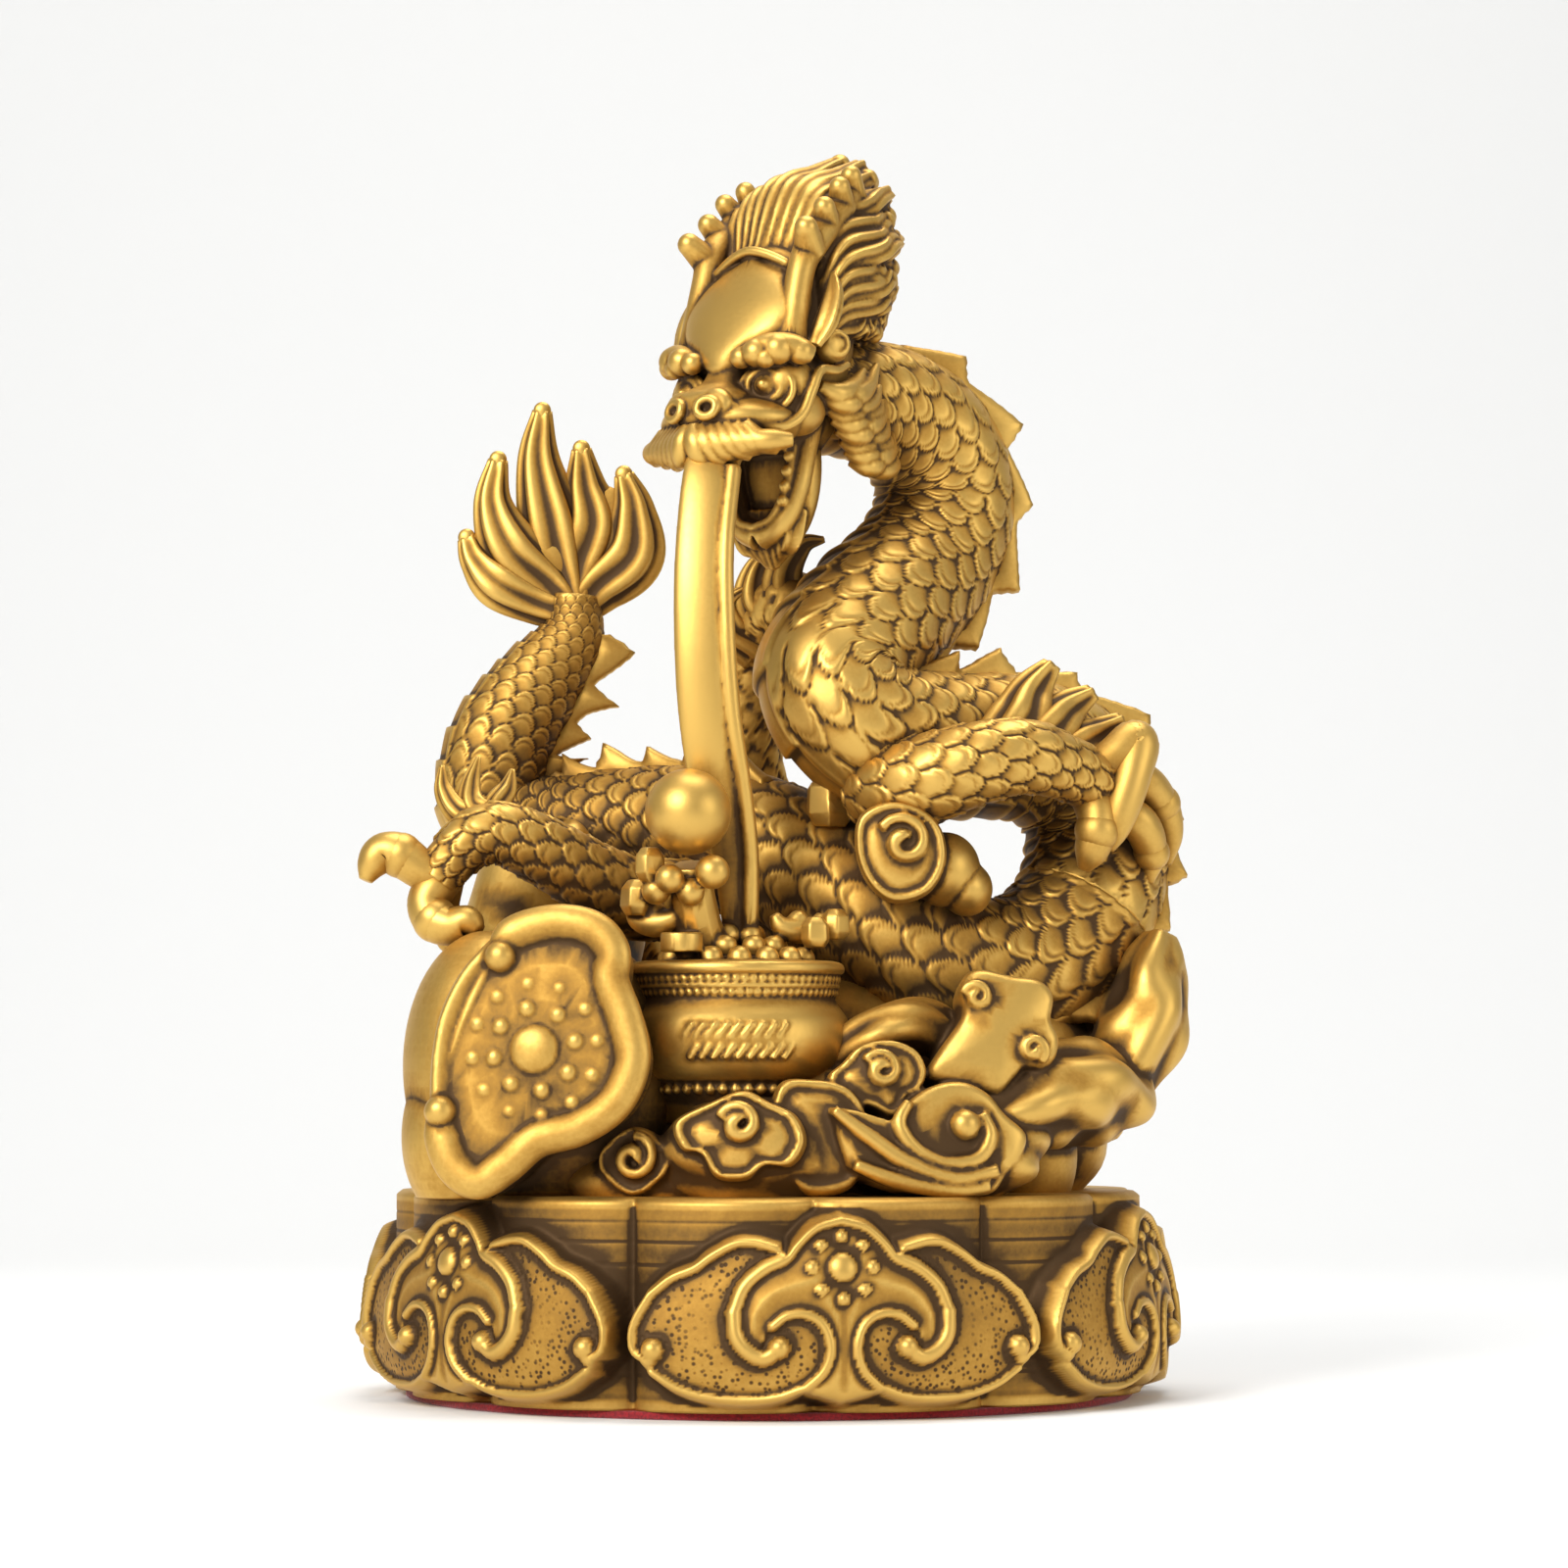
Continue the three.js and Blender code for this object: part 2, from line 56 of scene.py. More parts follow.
class Socket:
    """One output of a material's nodes. Plain arithmetic on it adds the Math nodes."""

    def __init__(self, tree, link=None):
        self.tree = tree
        self.link = link

    def node(self, kind, settings, inputs, output=0):
        made = self.tree.nodes.new(kind)
        for name, value in settings.items():
            setattr(made, name, value)
        for name, value in inputs.items():
            if isinstance(value, Socket):
                self.tree.links.new(value.link, made.inputs[name])
            else:
                made.inputs[name].default_value = value
        return Socket(self.tree, made.outputs[output])

    def math(self, operation, first, second):
        return self.node("ShaderNodeMath", {"operation": operation}, {0: first, 1: second})

    def __add__(self, other):
        return self.math("ADD", self, other)

    def __radd__(self, other):
        return self.math("ADD", other, self)

    def __sub__(self, other):
        return self.math("SUBTRACT", self, other)

    def __rsub__(self, other):
        return self.math("SUBTRACT", other, self)

    def __mul__(self, other):
        return self.math("MULTIPLY", self, other)

    def __rmul__(self, other):
        return self.math("MULTIPLY", other, self)

    def between(self, low, high):
        """0 below low, 1 above high and a smooth rise between them."""
        settings = {"interpolation_type": "SMOOTHSTEP"}
        return self.node("ShaderNodeMapRange", settings, {0: self, 1: low, 2: high})

    def tint(self, low, high):
        """The low colour where this is 0 and the high one where it is 1."""
        return self.node("ShaderNodeMix", {"data_type": "RGBA"}, {0: self, 6: low, 7: high}, 2)

    def attribute(self, name):
        return self.node("ShaderNodeAttribute", {"attribute_name": name}, {}, 2)

    def place(self):
        return self.node("ShaderNodeTexCoord", {}, {}, 3)

    def noise(self, scale, detail=3.0, stretch=None):
        where = self.place()
        if stretch:
            where = self.node("ShaderNodeVectorMath", {"operation": "MULTIPLY"}, {0: where, 1: stretch})
        return self.node("ShaderNodeTexNoise", {}, {"Vector": where, "Scale": scale, "Detail": detail})

    def bump(self, strength, distance):
        return self.node("ShaderNodeBump", {}, {"Strength": strength, "Distance": distance, "Height": self})


def surface(name):
    """A new material, its Principled shader and the start of its nodes."""
    material = bpy.data.materials.new(name)
    material.use_nodes = True
    tree = material.node_tree
    return material, tree.nodes["Principled BSDF"], Socket(tree)


def feed(shader, name, socket):
    socket.tree.links.new(socket.link, shader.inputs[name])


def skin(rings):
    """Points and triangles of a closed skin over rings of points, each end closed by a fan."""
    rows, around = rings.shape[:2]
    index = np.arange(rows * around).reshape(rows, around)
    turned = np.roll(index, -1, 1)
    first, last = rows * around, rows * around + 1
    low = np.stack([index[:-1], turned[:-1], turned[1:]], -1).reshape(-1, 3)
    high = np.stack([index[:-1], turned[1:], index[1:]], -1).reshape(-1, 3)
    foot = np.stack([np.full(around, first), turned[0], index[0]], -1)
    top = np.stack([np.full(around, last), index[-1], turned[-1]], -1)
    points = np.concatenate([rings.reshape(-1, 3), [rings[0].mean(0), rings[-1].mean(0)]])
    return points, np.concatenate([low, high, foot, top])


def mesh_of(name, points, triangles):
    """A mesh from points in millimetres."""
    mesh = bpy.data.meshes.new(name)
    mesh.vertices.add(len(points))
    mesh.vertices.foreach_set("co", np.asarray(points, np.float32).ravel() * MM)
    mesh.loops.add(triangles.size)
    mesh.loops.foreach_set("vertex_index", triangles.astype(np.int32).ravel())
    mesh.polygons.add(len(triangles))
    mesh.polygons.foreach_set("loop_start", np.arange(0, triangles.size, 3, dtype=np.int32))
    mesh.polygons.foreach_set("use_smooth", np.ones(len(triangles), bool))
    mesh.update(calc_edges=True)
    mesh.validate()
    return mesh


def piece_of(name, mesh, node):
    piece = bpy.data.objects.new(name, mesh)
    bpy.context.scene.collection.objects.link(piece)
    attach(piece, "root")
    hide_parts(node)
    return piece


def felt_material():
    material, shader, start = surface("red_felt")
    nap = start.noise(2600.0, 4.0)
    feed(shader, "Base Color", nap.between(0.3, 0.7).tint(FELT_DARK, FELT_RED))
    feed(shader, "Normal", nap.bump(0.6, 0.0002))
    shader.inputs["Roughness"].default_value = 0.95
    shader.inputs["Sheen Weight"].default_value = 0.3
    return material


felt_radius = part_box("felt_pad")[1].x / MM
turn = np.linspace(0, 2 * np.pi, FELT_COLUMNS, endpoint=False)
cut = felt_radius - 0.2 + 0.12 * np.sin(7 * turn) + 0.08 * np.sin(17 * turn + 1)
felt_rings = [
    np.stack([(cut - inset) * np.cos(turn), (cut - inset) * np.sin(turn), np.full_like(turn, height)], -1)
    for inset, height in FELT_ROWS
]
felt_mesh = mesh_of("felt_pad_cloth", *skin(np.array(felt_rings)))
felt = piece_of("felt_pad_cloth", felt_mesh, "felt_pad")
felt.data.materials.append(felt_material())

# Plinth
# A round brass casting on the felt. Its drum is a ring of coin stacks, and six ruyi cloud panels swell out
# of it, each with corded rims, a flower of beads and a punched ground.
PLINTH_FOOT = 1.2
PLINTH_TOP = 33.0
DRUM_RADIUS = 56.5
COIN_STACKS = 13
COIN_SWELL = 4.0
COIN_THICKNESS = 3.3
PANELS = 6
FRONT_PANEL_TURN = 10.0
PANEL_COLUMNS = 156
PLINTH_ROWS = 84
PANEL_LOW_RADIUS = 62.3
PANEL_SWELL = 4.2
PANEL_FOOT = 2.0
PANEL_CROWN = 30.5
PANEL_REACH = 64.5
CROWN_RIM = [(0, 30.2), (-4, 29.1), (-6.9, 26.6), (-8.7, 24.4), (-11.8, 22.9), (-14.8, 20.2), (-16.3, 16.4)]
CROWN_HOOK = [(-16.3, 16.4), (-15.9, 13), (-14.2, 10.7), (-11.8, 9.7), (-9.6, 11.2)]
SHOULDER_RIM = [
    (-9.6, 26), (-13.2, 26.9), (-16.3, 26.8), (-19.9, 25), (-22.4, 23.2), (-26, 21.7), (-29.2, 19.2),
]
SHOULDER_HOOK = [(-29.2, 19.2), (-31.4, 15.4), (-32, 12.5), (-31.3, 10.1), (-29.2, 9.2), (-28.4, 10.8)]
FOOT_RIM = [(-28.8, 7.2), (-25, 4.8), (-20.4, 3.4), (-14.8, 2.9), (-9.8, 3.4), (-5.9, 4.8)]
FOOT_CURL = [(-5.9, 4.8), (-3, 7.7), (-2, 11.1), (-3, 14.5), (-5.4, 16.1), (-8.4, 16), (-10.6, 14.4)]
FLOWER_HEIGHT = 23.0
FLOWER_REACH = 4.6
FLOWER_BEADS = 8


def smooth_line(places, steps):
    """Points along a smooth line through the places, which may hold a radius after their coordinates."""
    knots = np.array(places, float)
    knots = np.vstack([2 * knots[0] - knots[1], knots, 2 * knots[-1] - knots[-2]])
    share = np.linspace(0, len(places) - 1, steps + 1)
    low = np.minimum(share.astype(int), len(places) - 2)
    t = (share - low)[:, None]
    a, b, c, d = (knots[low + k] for k in range(4))
    return 0.5 * (2 * b + (c - a) * t + (2 * a - 5 * b + 4 * c - d) * t**2 + (3 * b - a - 3 * c + d) * t**3)


def rise(low, high, value):
    share = np.clip((value - low) / (high - low), 0, 1)
    return share * share * (3 - 2 * share)


def line_distance(x, z, line):
    best = np.full(x.shape, np.inf)
    for (x0, z0), (x1, z1) in zip(line[:-1], line[1:]):
        run = (x1 - x0) ** 2 + (z1 - z0) ** 2
        t = np.clip(((x - x0) * (x1 - x0) + (z - z0) * (z1 - z0)) / run, 0, 1)
        best = np.minimum(best, np.hypot(x - x0 - t * (x1 - x0), z - z0 - t * (z1 - z0)))
    return best


def depth_inside(x, z, outline):
    """Distance to a closed outline, positive inside it."""
    loop = np.vstack([outline, outline[:1]])
    inside = np.zeros(x.shape, bool)
    for (x0, z0), (x1, z1) in zip(loop[:-1], loop[1:]):
        if z0 != z1:
            inside ^= ((z0 > z) != (z1 > z)) & (x < (x1 - x0) * (z - z0) / (z1 - z0) + x0)
    return np.where(inside, 1, -1) * line_distance(x, z, loop)


def rounded(distance, half_width, height):
    """Height of a round cord or bead at a distance from its middle."""
    return height * np.sqrt(np.clip(1 - (distance / half_width) ** 2, 0, 1))


def panel_relief(x, z):
    """Cover of a panel over the drum, relief on its face and where its ground is punched."""
    crown = smooth_line(CROWN_RIM, 30)
    hook = smooth_line(CROWN_HOOK, 24)
    shoulder = smooth_line(SHOULDER_RIM, 30)
    shoulder_hook = smooth_line(SHOULDER_HOOK, 24)
    foot = smooth_line(FOOT_RIM, 24)
    curl = smooth_line(FOOT_CURL, 30)
    edge = np.vstack([crown[:16], shoulder, shoulder_hook[:18], foot, [(0, 3.2), (1, 3.2), (1, 30.2)]])
    face = np.vstack([crown, hook[:18], curl[::-1], foot[:-8:-1], [(0, 2.5), (1, 2.5), (1, 30.2)]])
    cover = rise(-1.9, 0.2, depth_inside(x, z, edge))
    on_face = rise(-0.5, 0.7, depth_inside(x, z, face))
    pit = rise(6.2, 2.5, np.hypot(x + 7.4, z - 11.4))
    ground = -0.7 - 1.5 * pit
    relief = ground * (1 - on_face) + on_face * (0.5 + 0.8 * rise(0, 6, depth_inside(x, z, face)))
    cords = [(crown, 1.25, 2.0), (hook, 1.35, 2.2), (shoulder, 1.2, 1.6), (shoulder_hook, 1.3, 1.8)]
    cords += [(foot, 1.1, 1.3), (curl, 0.85, 1.5)]
    for line, half_width, height in cords:
        relief = np.maximum(relief, rounded(line_distance(x, z, line), half_width, height))
    for knob, size in ((hook[-1], 1.75), (shoulder_hook[-1], 1.85)):
        relief = np.maximum(relief, rounded(np.hypot(x - knob[0], z - knob[1]), size, 2.6))
    centre = np.hypot(x, z - FLOWER_HEIGHT)
    relief = np.where(centre < 2.2, np.maximum(relief, 0.9 + rounded(centre, 2.2, 1.5)), relief)
    for i in range(FLOWER_BEADS):
        angle = 2 * np.pi * i / FLOWER_BEADS
        bead = np.hypot(x - FLOWER_REACH * np.sin(angle), z - FLOWER_HEIGHT - FLOWER_REACH * np.cos(angle))
        relief = np.where(bead < 1, np.maximum(relief, 0.9 + rounded(bead, 1.0, 1.0)), relief)
    polished = np.exp(-(((x + 19.5) / 6.5) ** 2) - ((z - 15) / 5) ** 2)
    return cover, relief, np.clip(1 - on_face - rise(0.1, 0.6, relief), 0, 1) * cover * (1 - 0.8 * polished)


share = (np.arange(PANEL_COLUMNS) + 0.5) / PANEL_COLUMNS * 2 - 1
height = np.linspace(PLINTH_FOOT, PLINTH_TOP, PLINTH_ROWS)[:, None]
from_middle = -np.abs(share)[None, :] * PANEL_REACH * np.pi / PANELS
cover, relief, punched = panel_relief(from_middle + 0 * height, height + 0 * from_middle)
swell = np.sin(np.pi * np.clip((height - PANEL_FOOT) / (PANEL_CROWN - PANEL_FOOT), 0, 1) ** 0.6)
panel_radius = np.tile(PANEL_LOW_RADIUS - 0.6 + PANEL_SWELL * 0.75 * swell + relief * 0.8, (1, PANELS))
panel_share = (np.arange(PANELS)[:, None] + share / 2).ravel()
angle = np.radians(FRONT_PANEL_TURN - 90) + panel_share * 2 * np.pi / PANELS
stack = (angle * COIN_STACKS / (2 * np.pi)) % 1
drum = DRUM_RADIUS + COIN_SWELL * np.sin(np.pi * stack) ** 0.55
coin = np.abs((PLINTH_TOP - height) / COIN_THICKNESS % 1 - 0.5)
drum = drum - 0.16 * rise(0.42, 0.5, coin) - 0.8 * rise(0.8, 0.0, PLINTH_TOP - height)
radius = drum + (panel_radius - drum) * np.tile(cover, (1, PANELS))
plinth_rings = np.stack([radius * np.cos(angle), radius * np.sin(angle), height + 0 * radius], -1)
plinth = piece_of("plinth_casting", mesh_of("plinth_casting", *skin(plinth_rings)), "plinth")
for name, shares in (("punched", punched), ("drum", 1 - cover)):
    held = plinth.data.attributes.new(name, "FLOAT", "POINT")
    held.data.foreach_set("value", np.append(np.tile(shares, (1, PANELS)).ravel(), [0, 0]).astype(np.float32))

# Cloud bank
# The lower part of the casting: rolling clouds with scrolled heads, from which the dragon, the pot and the
# ruyi head rise. Cast in brass with the rest, then polished to gold on the high parts; painted shade darkens
# the places that other parts shelter.
CASTING_FOOT = PLINTH_TOP - 0.6
BANK_VOXEL = 0.4
BANK_TRIANGLES = 110000


class Casting:
    """Closed shapes that run into each other, gathered to be cast as one skin."""

    def __init__(self):
        self.points = []
        self.triangles = []
        self.count = 0

    def add(self, shape):
        points, triangles = shape
        self.points.append(points)
        self.triangles.append(triangles + self.count)
        self.count += len(points)

    def pour(self, name, voxel, triangles):
        """One skin over all the shapes, thinned to a number of triangles."""
        piece = self.lay(name)
        fill = piece.modifiers.new("fill", "REMESH")
        fill.mode = "VOXEL"
        fill.voxel_size = voxel * MM * 1
        fill.use_smooth_shade = True
        ease = piece.modifiers.new("ease", "SMOOTH")
        ease.factor = 0.5
        ease.iterations = 2
        self.settle(piece)
        trim = piece.modifiers.new("trim", "DECIMATE")
        trim.ratio = min(1.0, triangles / (2 * len(piece.data.polygons)))
        self.settle(piece)
        piece.data.validate()
        piece.data.polygons.foreach_set("use_smooth", np.ones(len(piece.data.polygons), bool))
        return piece

    def lay(self, name):
        """The shapes as they are, for work that is chased finer than the rest."""
        rough = mesh_of(name, np.concatenate(self.points), np.concatenate(self.triangles))
        return piece_of(name, rough, "dragon_casting")

    def cut_level(self, low):
        """Flattens what lies below a height, so that the casting stands on the plinth."""
        for part in self.points:
            part[:, 2] = part[:, 2].clip(low)

    def settle(self, piece):
        seen = piece.evaluated_get(bpy.context.evaluated_depsgraph_get())
        settled = bpy.data.meshes.new_from_object(seen)
        piece.modifiers.clear()
        piece.data = settled


def spun(points, angle):
    """Points turned about their own +Z."""
    x, y = points[..., 0], points[..., 1]
    cos, sin = math.cos(angle), math.sin(angle)
    return np.stack([x * cos - y * sin, x * sin + y * cos, points[..., 2]], -1)


def tube(places, steps=20, around=14, flat=1.0, relief=None, depth=(0, 1, 0)):
    """A bar along a smooth line, with the radius given at each place and relief added to it."""
    line = smooth_line(places, steps)
    middle, radius = line[:, :3], np.maximum(line[:, 3], 0.12)
    along = np.gradient(middle, axis=0)
    along /= np.linalg.norm(along, axis=1, keepdims=True)
    out = np.cross(along, depth)
    out /= np.linalg.norm(out, axis=1, keepdims=True)
    across = np.cross(along, out)
    turn = np.linspace(0, 2 * np.pi, around, endpoint=False)
    reach = np.repeat(radius[:, None], around, 1)
    if relief:
        run = np.append(0, np.cumsum(np.linalg.norm(np.diff(middle, axis=0), axis=1)))
        reach = reach + relief(run[:, None], turn[None, :], radius[:, None])
    rings = middle[:, None] + out[:, None] * (reach * np.cos(turn))[..., None]
    return skin(rings + across[:, None] * (flat * reach * np.sin(turn))[..., None])


def lump(halves, place, turn=0.0, relief=None, detail=24):
    """An oval lump. Relief is a share of its size, from the azimuth and the height of each point on it."""
    polar = np.linspace(-np.pi / 2, np.pi / 2, detail + 2)[1:-1, None]
    azimuth = np.linspace(0, 2 * np.pi, detail * 2, endpoint=False)[None, :]
    size = 1 + (relief(azimuth, polar) if relief else 0)
    x, y, z = np.cos(polar) * np.cos(azimuth), np.cos(polar) * np.sin(azimuth), np.sin(polar) + 0 * azimuth
    rings = np.stack([x * size * halves[0], y * size * halves[1], z * size * halves[2]], -1)
    return skin(spun(rings, math.radians(turn)) + np.array(place))


def ball(radius, place, detail=10):
    return lump((radius, radius, radius), place, detail=detail)


def closed_line(corners, steps):
    """A smooth closed line through the corners, which run anticlockwise."""
    count = len(corners)
    return smooth_line(list(corners[-2:]) + list(corners) + list(corners[:3]), (count + 4) * steps)[
        2 * steps : (count + 2) * steps
    ]


def plaque(corners, depth, rim=0.0, dome=1.0, edge=1.2, steps=8):
    """A thick domed plaque with a rounded edge, seen from its own +Z. A rim is raised along the edge."""
    outline = closed_line(corners, steps)
    middle = outline.mean(0)
    rows = [(0.86, -depth), (0.97, -depth * 0.75), (1.0, -edge), (0.985, -0.45 * edge)]
    if rim:
        rows += [(0.95, rim), (0.9, rim + 0.15), (0.84, rim * 0.7), (0.78, 0.0), (0.6, dome * 0.55)]
    else:
        rows += [(0.95, -0.15 * edge), (0.88, 0.1), (0.75, dome * 0.35), (0.6, dome * 0.65)]
    rows += [(0.35, dome * 0.9), (0.12, dome)]
    rings = []
    for share, z in rows:
        rings.append(np.column_stack([middle + (outline - middle) * share, np.full(len(outline), z)]))
    return skin(np.array(rings))


def scroll(radius, turns, cord, height, hand=1, start=0.0):
    """A cord that winds inwards to a round boss, on a plaque's face."""
    share = np.linspace(0, 1, int(12 * turns) + 2)
    angle = math.radians(start) + hand * 2 * np.pi * turns * share
    reach = radius * (1 - 0.9 * share)
    places = np.column_stack(
        [reach * np.cos(angle), reach * np.sin(angle), height + 0 * share, cord * (0.7 + 0.5 * share)]
    )
    return tube(places, len(places) * 3, 10, depth=(0, 0, 1))


def stand(shape, place, azimuth=0.0, lean=0.0):
    """Sets a shape that faces its own +Z upright at a place, facing out at an azimuth from the front."""
    points, triangles = shape
    aside, back = math.radians(azimuth), math.radians(lean)
    right = np.array([math.cos(aside), math.sin(aside), 0])
    level = np.array([math.sin(aside), -math.cos(aside), 0])
    up = np.array([0, 0, 1.0])
    out = level * math.cos(back) + up * math.sin(back)
    rear = up * math.cos(back) - level * math.sin(back)
    return points @ np.array([right, rear, out]) + np.array(place), triangles


def round_corners(width, height, wave=0.0, lobes=5, count=15):
    angle = np.linspace(0, 2 * np.pi, count, endpoint=False)
    reach = 1 + wave * np.cos(lobes * angle)
    return np.column_stack([width * reach * np.cos(angle), height * reach * np.sin(angle)])


def billow(azimuth, polar):
    return 0.035 * np.sin(5 * azimuth + 2 * np.sin(3 * polar)) + 0.025 * np.sin(9 * polar + 2 * azimuth)


bank = Casting()
bank.add(lump((46, 43, 33), (0, 2, 36), relief=billow, detail=48))
bank.add(lump((16, 18, 22), (40, -1, 48), relief=billow, detail=32))
bank.add(lump((15, 16, 22), (-36, 6, 72), relief=billow, detail=32))

# The scrolled disc under the chest, with a small roll of cloud behind it
DISC = [
    (-1, -8.6), (4.4, -7.2), (7.2, -2.4), (6.6, 3), (3, 6.6), (-2, 7.4), (-6.4, 5), (-7, -0.4),
    (-5, -5.6),
]
bank.add(stand(plaque(DISC, 13, 0.4, 0.8, 1.8), (20.6, -29, 87)))
bank.add(stand(scroll(4.2, 1.25, 1.15, 0.9, -1, 150), (21.2, -29, 88)))
bank.add(lump((5.6, 7, 6), (28, -20, 84)))
bank.add(lump((4.2, 6, 4.4), (31.4, -19, 81)))

# The forked cloud: a stem that spreads into a wide head with a small curl at each end
FORKED = [
    (-8.2, -9), (-4.1, -9.8), (0, -10.5), (2.6, -8.2), (4.4, -6.5), (7.3, -6.5), (9.4, -4.7),
    (10, -1.7), (8.9, 1.2), (9.4, 5), (7.3, 7.5), (2.9, 8.2), (-1.5, 9.2), (-4.1, 8.5), (-5.4, 5.5),
    (-5, 2.9), (-5.8, 0.6), (-9, -3.8), (-11.1, -7.6),
]
FORKED_PLACE = np.array([35.1, -40.0, 59.0])
bank.add(stand(plaque(FORKED, 11, 0, 1.0, 2.4), FORKED_PLACE, 8, 10))
for across, up, hand, begin in ((-3.0, 4.6, -1, 170), (5.6, -3.6, 1, 300)):
    curl = stand(scroll(2.3, 1.2, 0.85, 0.9, hand, begin), (across, 0, up))
    bank.add((curl[0] + FORKED_PLACE + np.array([0, 0.12 * across + 0.17 * up, 0]), curl[1]))
bank.add(lump((7, 8, 9), (32, -30, 52)))

# The small pointed cloud beside the pot
POINTED = [
    (-7.8, -0.3), (-5.5, -3.5), (-0.9, -4.9), (2.3, -6.3), (4.3, -3.3), (6.5, -2), (7.5, 0.9), (6, 4),
    (2, 5.6), (-2.6, 4.8), (-5.5, 2),
]
bank.add(stand(plaque(POINTED, 8, 0.3, 0.9, 1.6), (16.8, -46, 51.4), 5, 8))
bank.add(stand(scroll(2.9, 1.3, 1.0, 0.7, -1, 150), (17.2, -46.2, 52.2), 5, 8))

# The large rolled cloud on the right: a round boss, a rim that winds about it and a long tail to the left
ROLLED = [
    (4.3, -10), (6.6, -7.4), (9.2, -4.5), (10.1, -1), (6.9, 2.1), (4.3, 5.3), (0.3, 7.1), (-4.3, 6.5),
    (-8.6, 3.9), (-10.6, 0.5), (-13, 1.4), (-17.6, 2.8), (-20.7, 3), (-20.2, 0.7), (-19, -3.9),
    (-17, -6.8), (-10.1, -9.4), (-1.4, -10.4),
]
ROLLED_PLACE = (29.8, -47.0, 43.6)
ROLLED_LINES = (
    (
        (-8.6, 3.9, 0.8), (-10.2, 0.4, 1.2), (-8, -3.4, 1.3), (-3.6, -5.6, 1.3), (1.6, -5, 1.3),
        (3.9, -1.6, 1.2), (2.8, 2, 0.9),
    ),
    ((-20.4, 2.6, 0.8), (-15, -1.6, 1.3), (-9.4, -5.4, 1.5), (-2, -8, 1.5), (5, -6.8, 1.0)),
    ((-17.4, -5.8, 0.9), (-11, -8.2, 1.3), (-3, -9.6, 1.3), (3.6, -9.2, 0.9)),
)
bank.add(stand(plaque(ROLLED, 10, 0, 0.5, 2.0), ROLLED_PLACE, 12, 8))
for cord in ROLLED_LINES:
    bank.add(stand(tube([(x, y, 0.5, r) for x, y, r in cord], 60, 14, depth=(0, 0, 1)), ROLLED_PLACE, 12, 8))
bank.add(stand(lump((2.3, 2.3, 2.0), (0, 0.2, 0.8)), ROLLED_PLACE, 12, 8))
bank.add(lump((16, 11, 9), (27, -37, 40), relief=billow, detail=30))

# The wavy cloud at the front, with a round lobe behind it
WAVY = [
    (-10.5, 2), (-9.5, -2), (-6.5, -3), (-4, -6.5), (0.5, -6.8), (3.5, -4.8), (7.5, -4.6), (9.6, -1),
    (8, 3), (4, 5), (0, 6.8), (-5, 5),
]
bank.add(stand(plaque(WAVY, 7, 0.5, 0.9, 1.6), (-3.8, -53, 42.5), -3, 6))
bank.add(stand(scroll(3.2, 1.25, 1.15, 0.9, -1, 160), (-4.4, -53.4, 44), -3, 6))
LOBE = [(-3, -8), (4, -8.2), (7.4, -4), (8, 2), (5, 7.5), (-1, 9), (-6, 8), (-7, 0)]
bank.add(stand(plaque(LOBE, 8, 0.4, 0.8, 1.8), (7.6, -49, 42), 6, 6))
bank.add(lump((16, 10, 9), (-2, -42, 39), relief=billow, detail=30))

# The small curl in the hollow beside the ruyi head
bank.add(stand(plaque(round_corners(5.6, 5.0, 0.06, 4), 6, 0.5, 0.4), (-20.4, -46, 38.4), -14, 4))
bank.add(stand(scroll(3.6, 1.3, 1.0, 0.9, -1, 90), (-20.4, -46.4, 38.8), -14, 4))
bank.add(lump((13, 6, 5), (-18, -40, 35)))

# A low roll behind the pointed cloud, then two bulky rolls like rocks that close the right side


def fold_relief(run, turn, radius):
    folds = 0.11 * np.cos(3 * turn + 0.5 + 0.05 * run) + 0.06 * np.cos(5 * turn - 0.25 * run)
    return radius * (folds + 0.06 * np.sin(0.5 * run + 2 * turn))


LOW_ROLL = [
    (10, -35, 53.4, 1.5), (14, -34.6, 56.4, 3.4), (19, -33, 58.6, 4.2), (25, -30, 58.6, 4.2),
    (31, -26, 55.4, 3.6),
]
bank.add(tube(LOW_ROLL, 50, 36, relief=fold_relief))
ROCK = [
    (31, -41, 42.4, 1.0), (35, -39.6, 44.6, 3.6), (40, -36, 46.6, 6), (45.5, -30.4, 48.6, 7.8),
    (50.5, -23, 48.8, 8.2), (54, -16, 48, 7.2), (56, -11, 47.6, 4.6), (56.4, -8, 47.4, 1.0),
]
bank.add(tube(ROCK, 80, 60, relief=fold_relief))
PEAK = [
    (52.6, -10, 46, 3), (55.6, -12, 51, 6.4), (59, -13, 57, 7.2), (61, -12, 63.6, 6.4),
    (62, -10.8, 69.6, 5.0), (62.8, -9.4, 74, 2.8),
]
bank.add(tube(PEAK, 80, 60, relief=fold_relief))
bank.add(lump((8, 9, 12), (41, -17, 39)))
bank.add(lump((8, 13, 14), (54, 2, 55), relief=billow, detail=26))

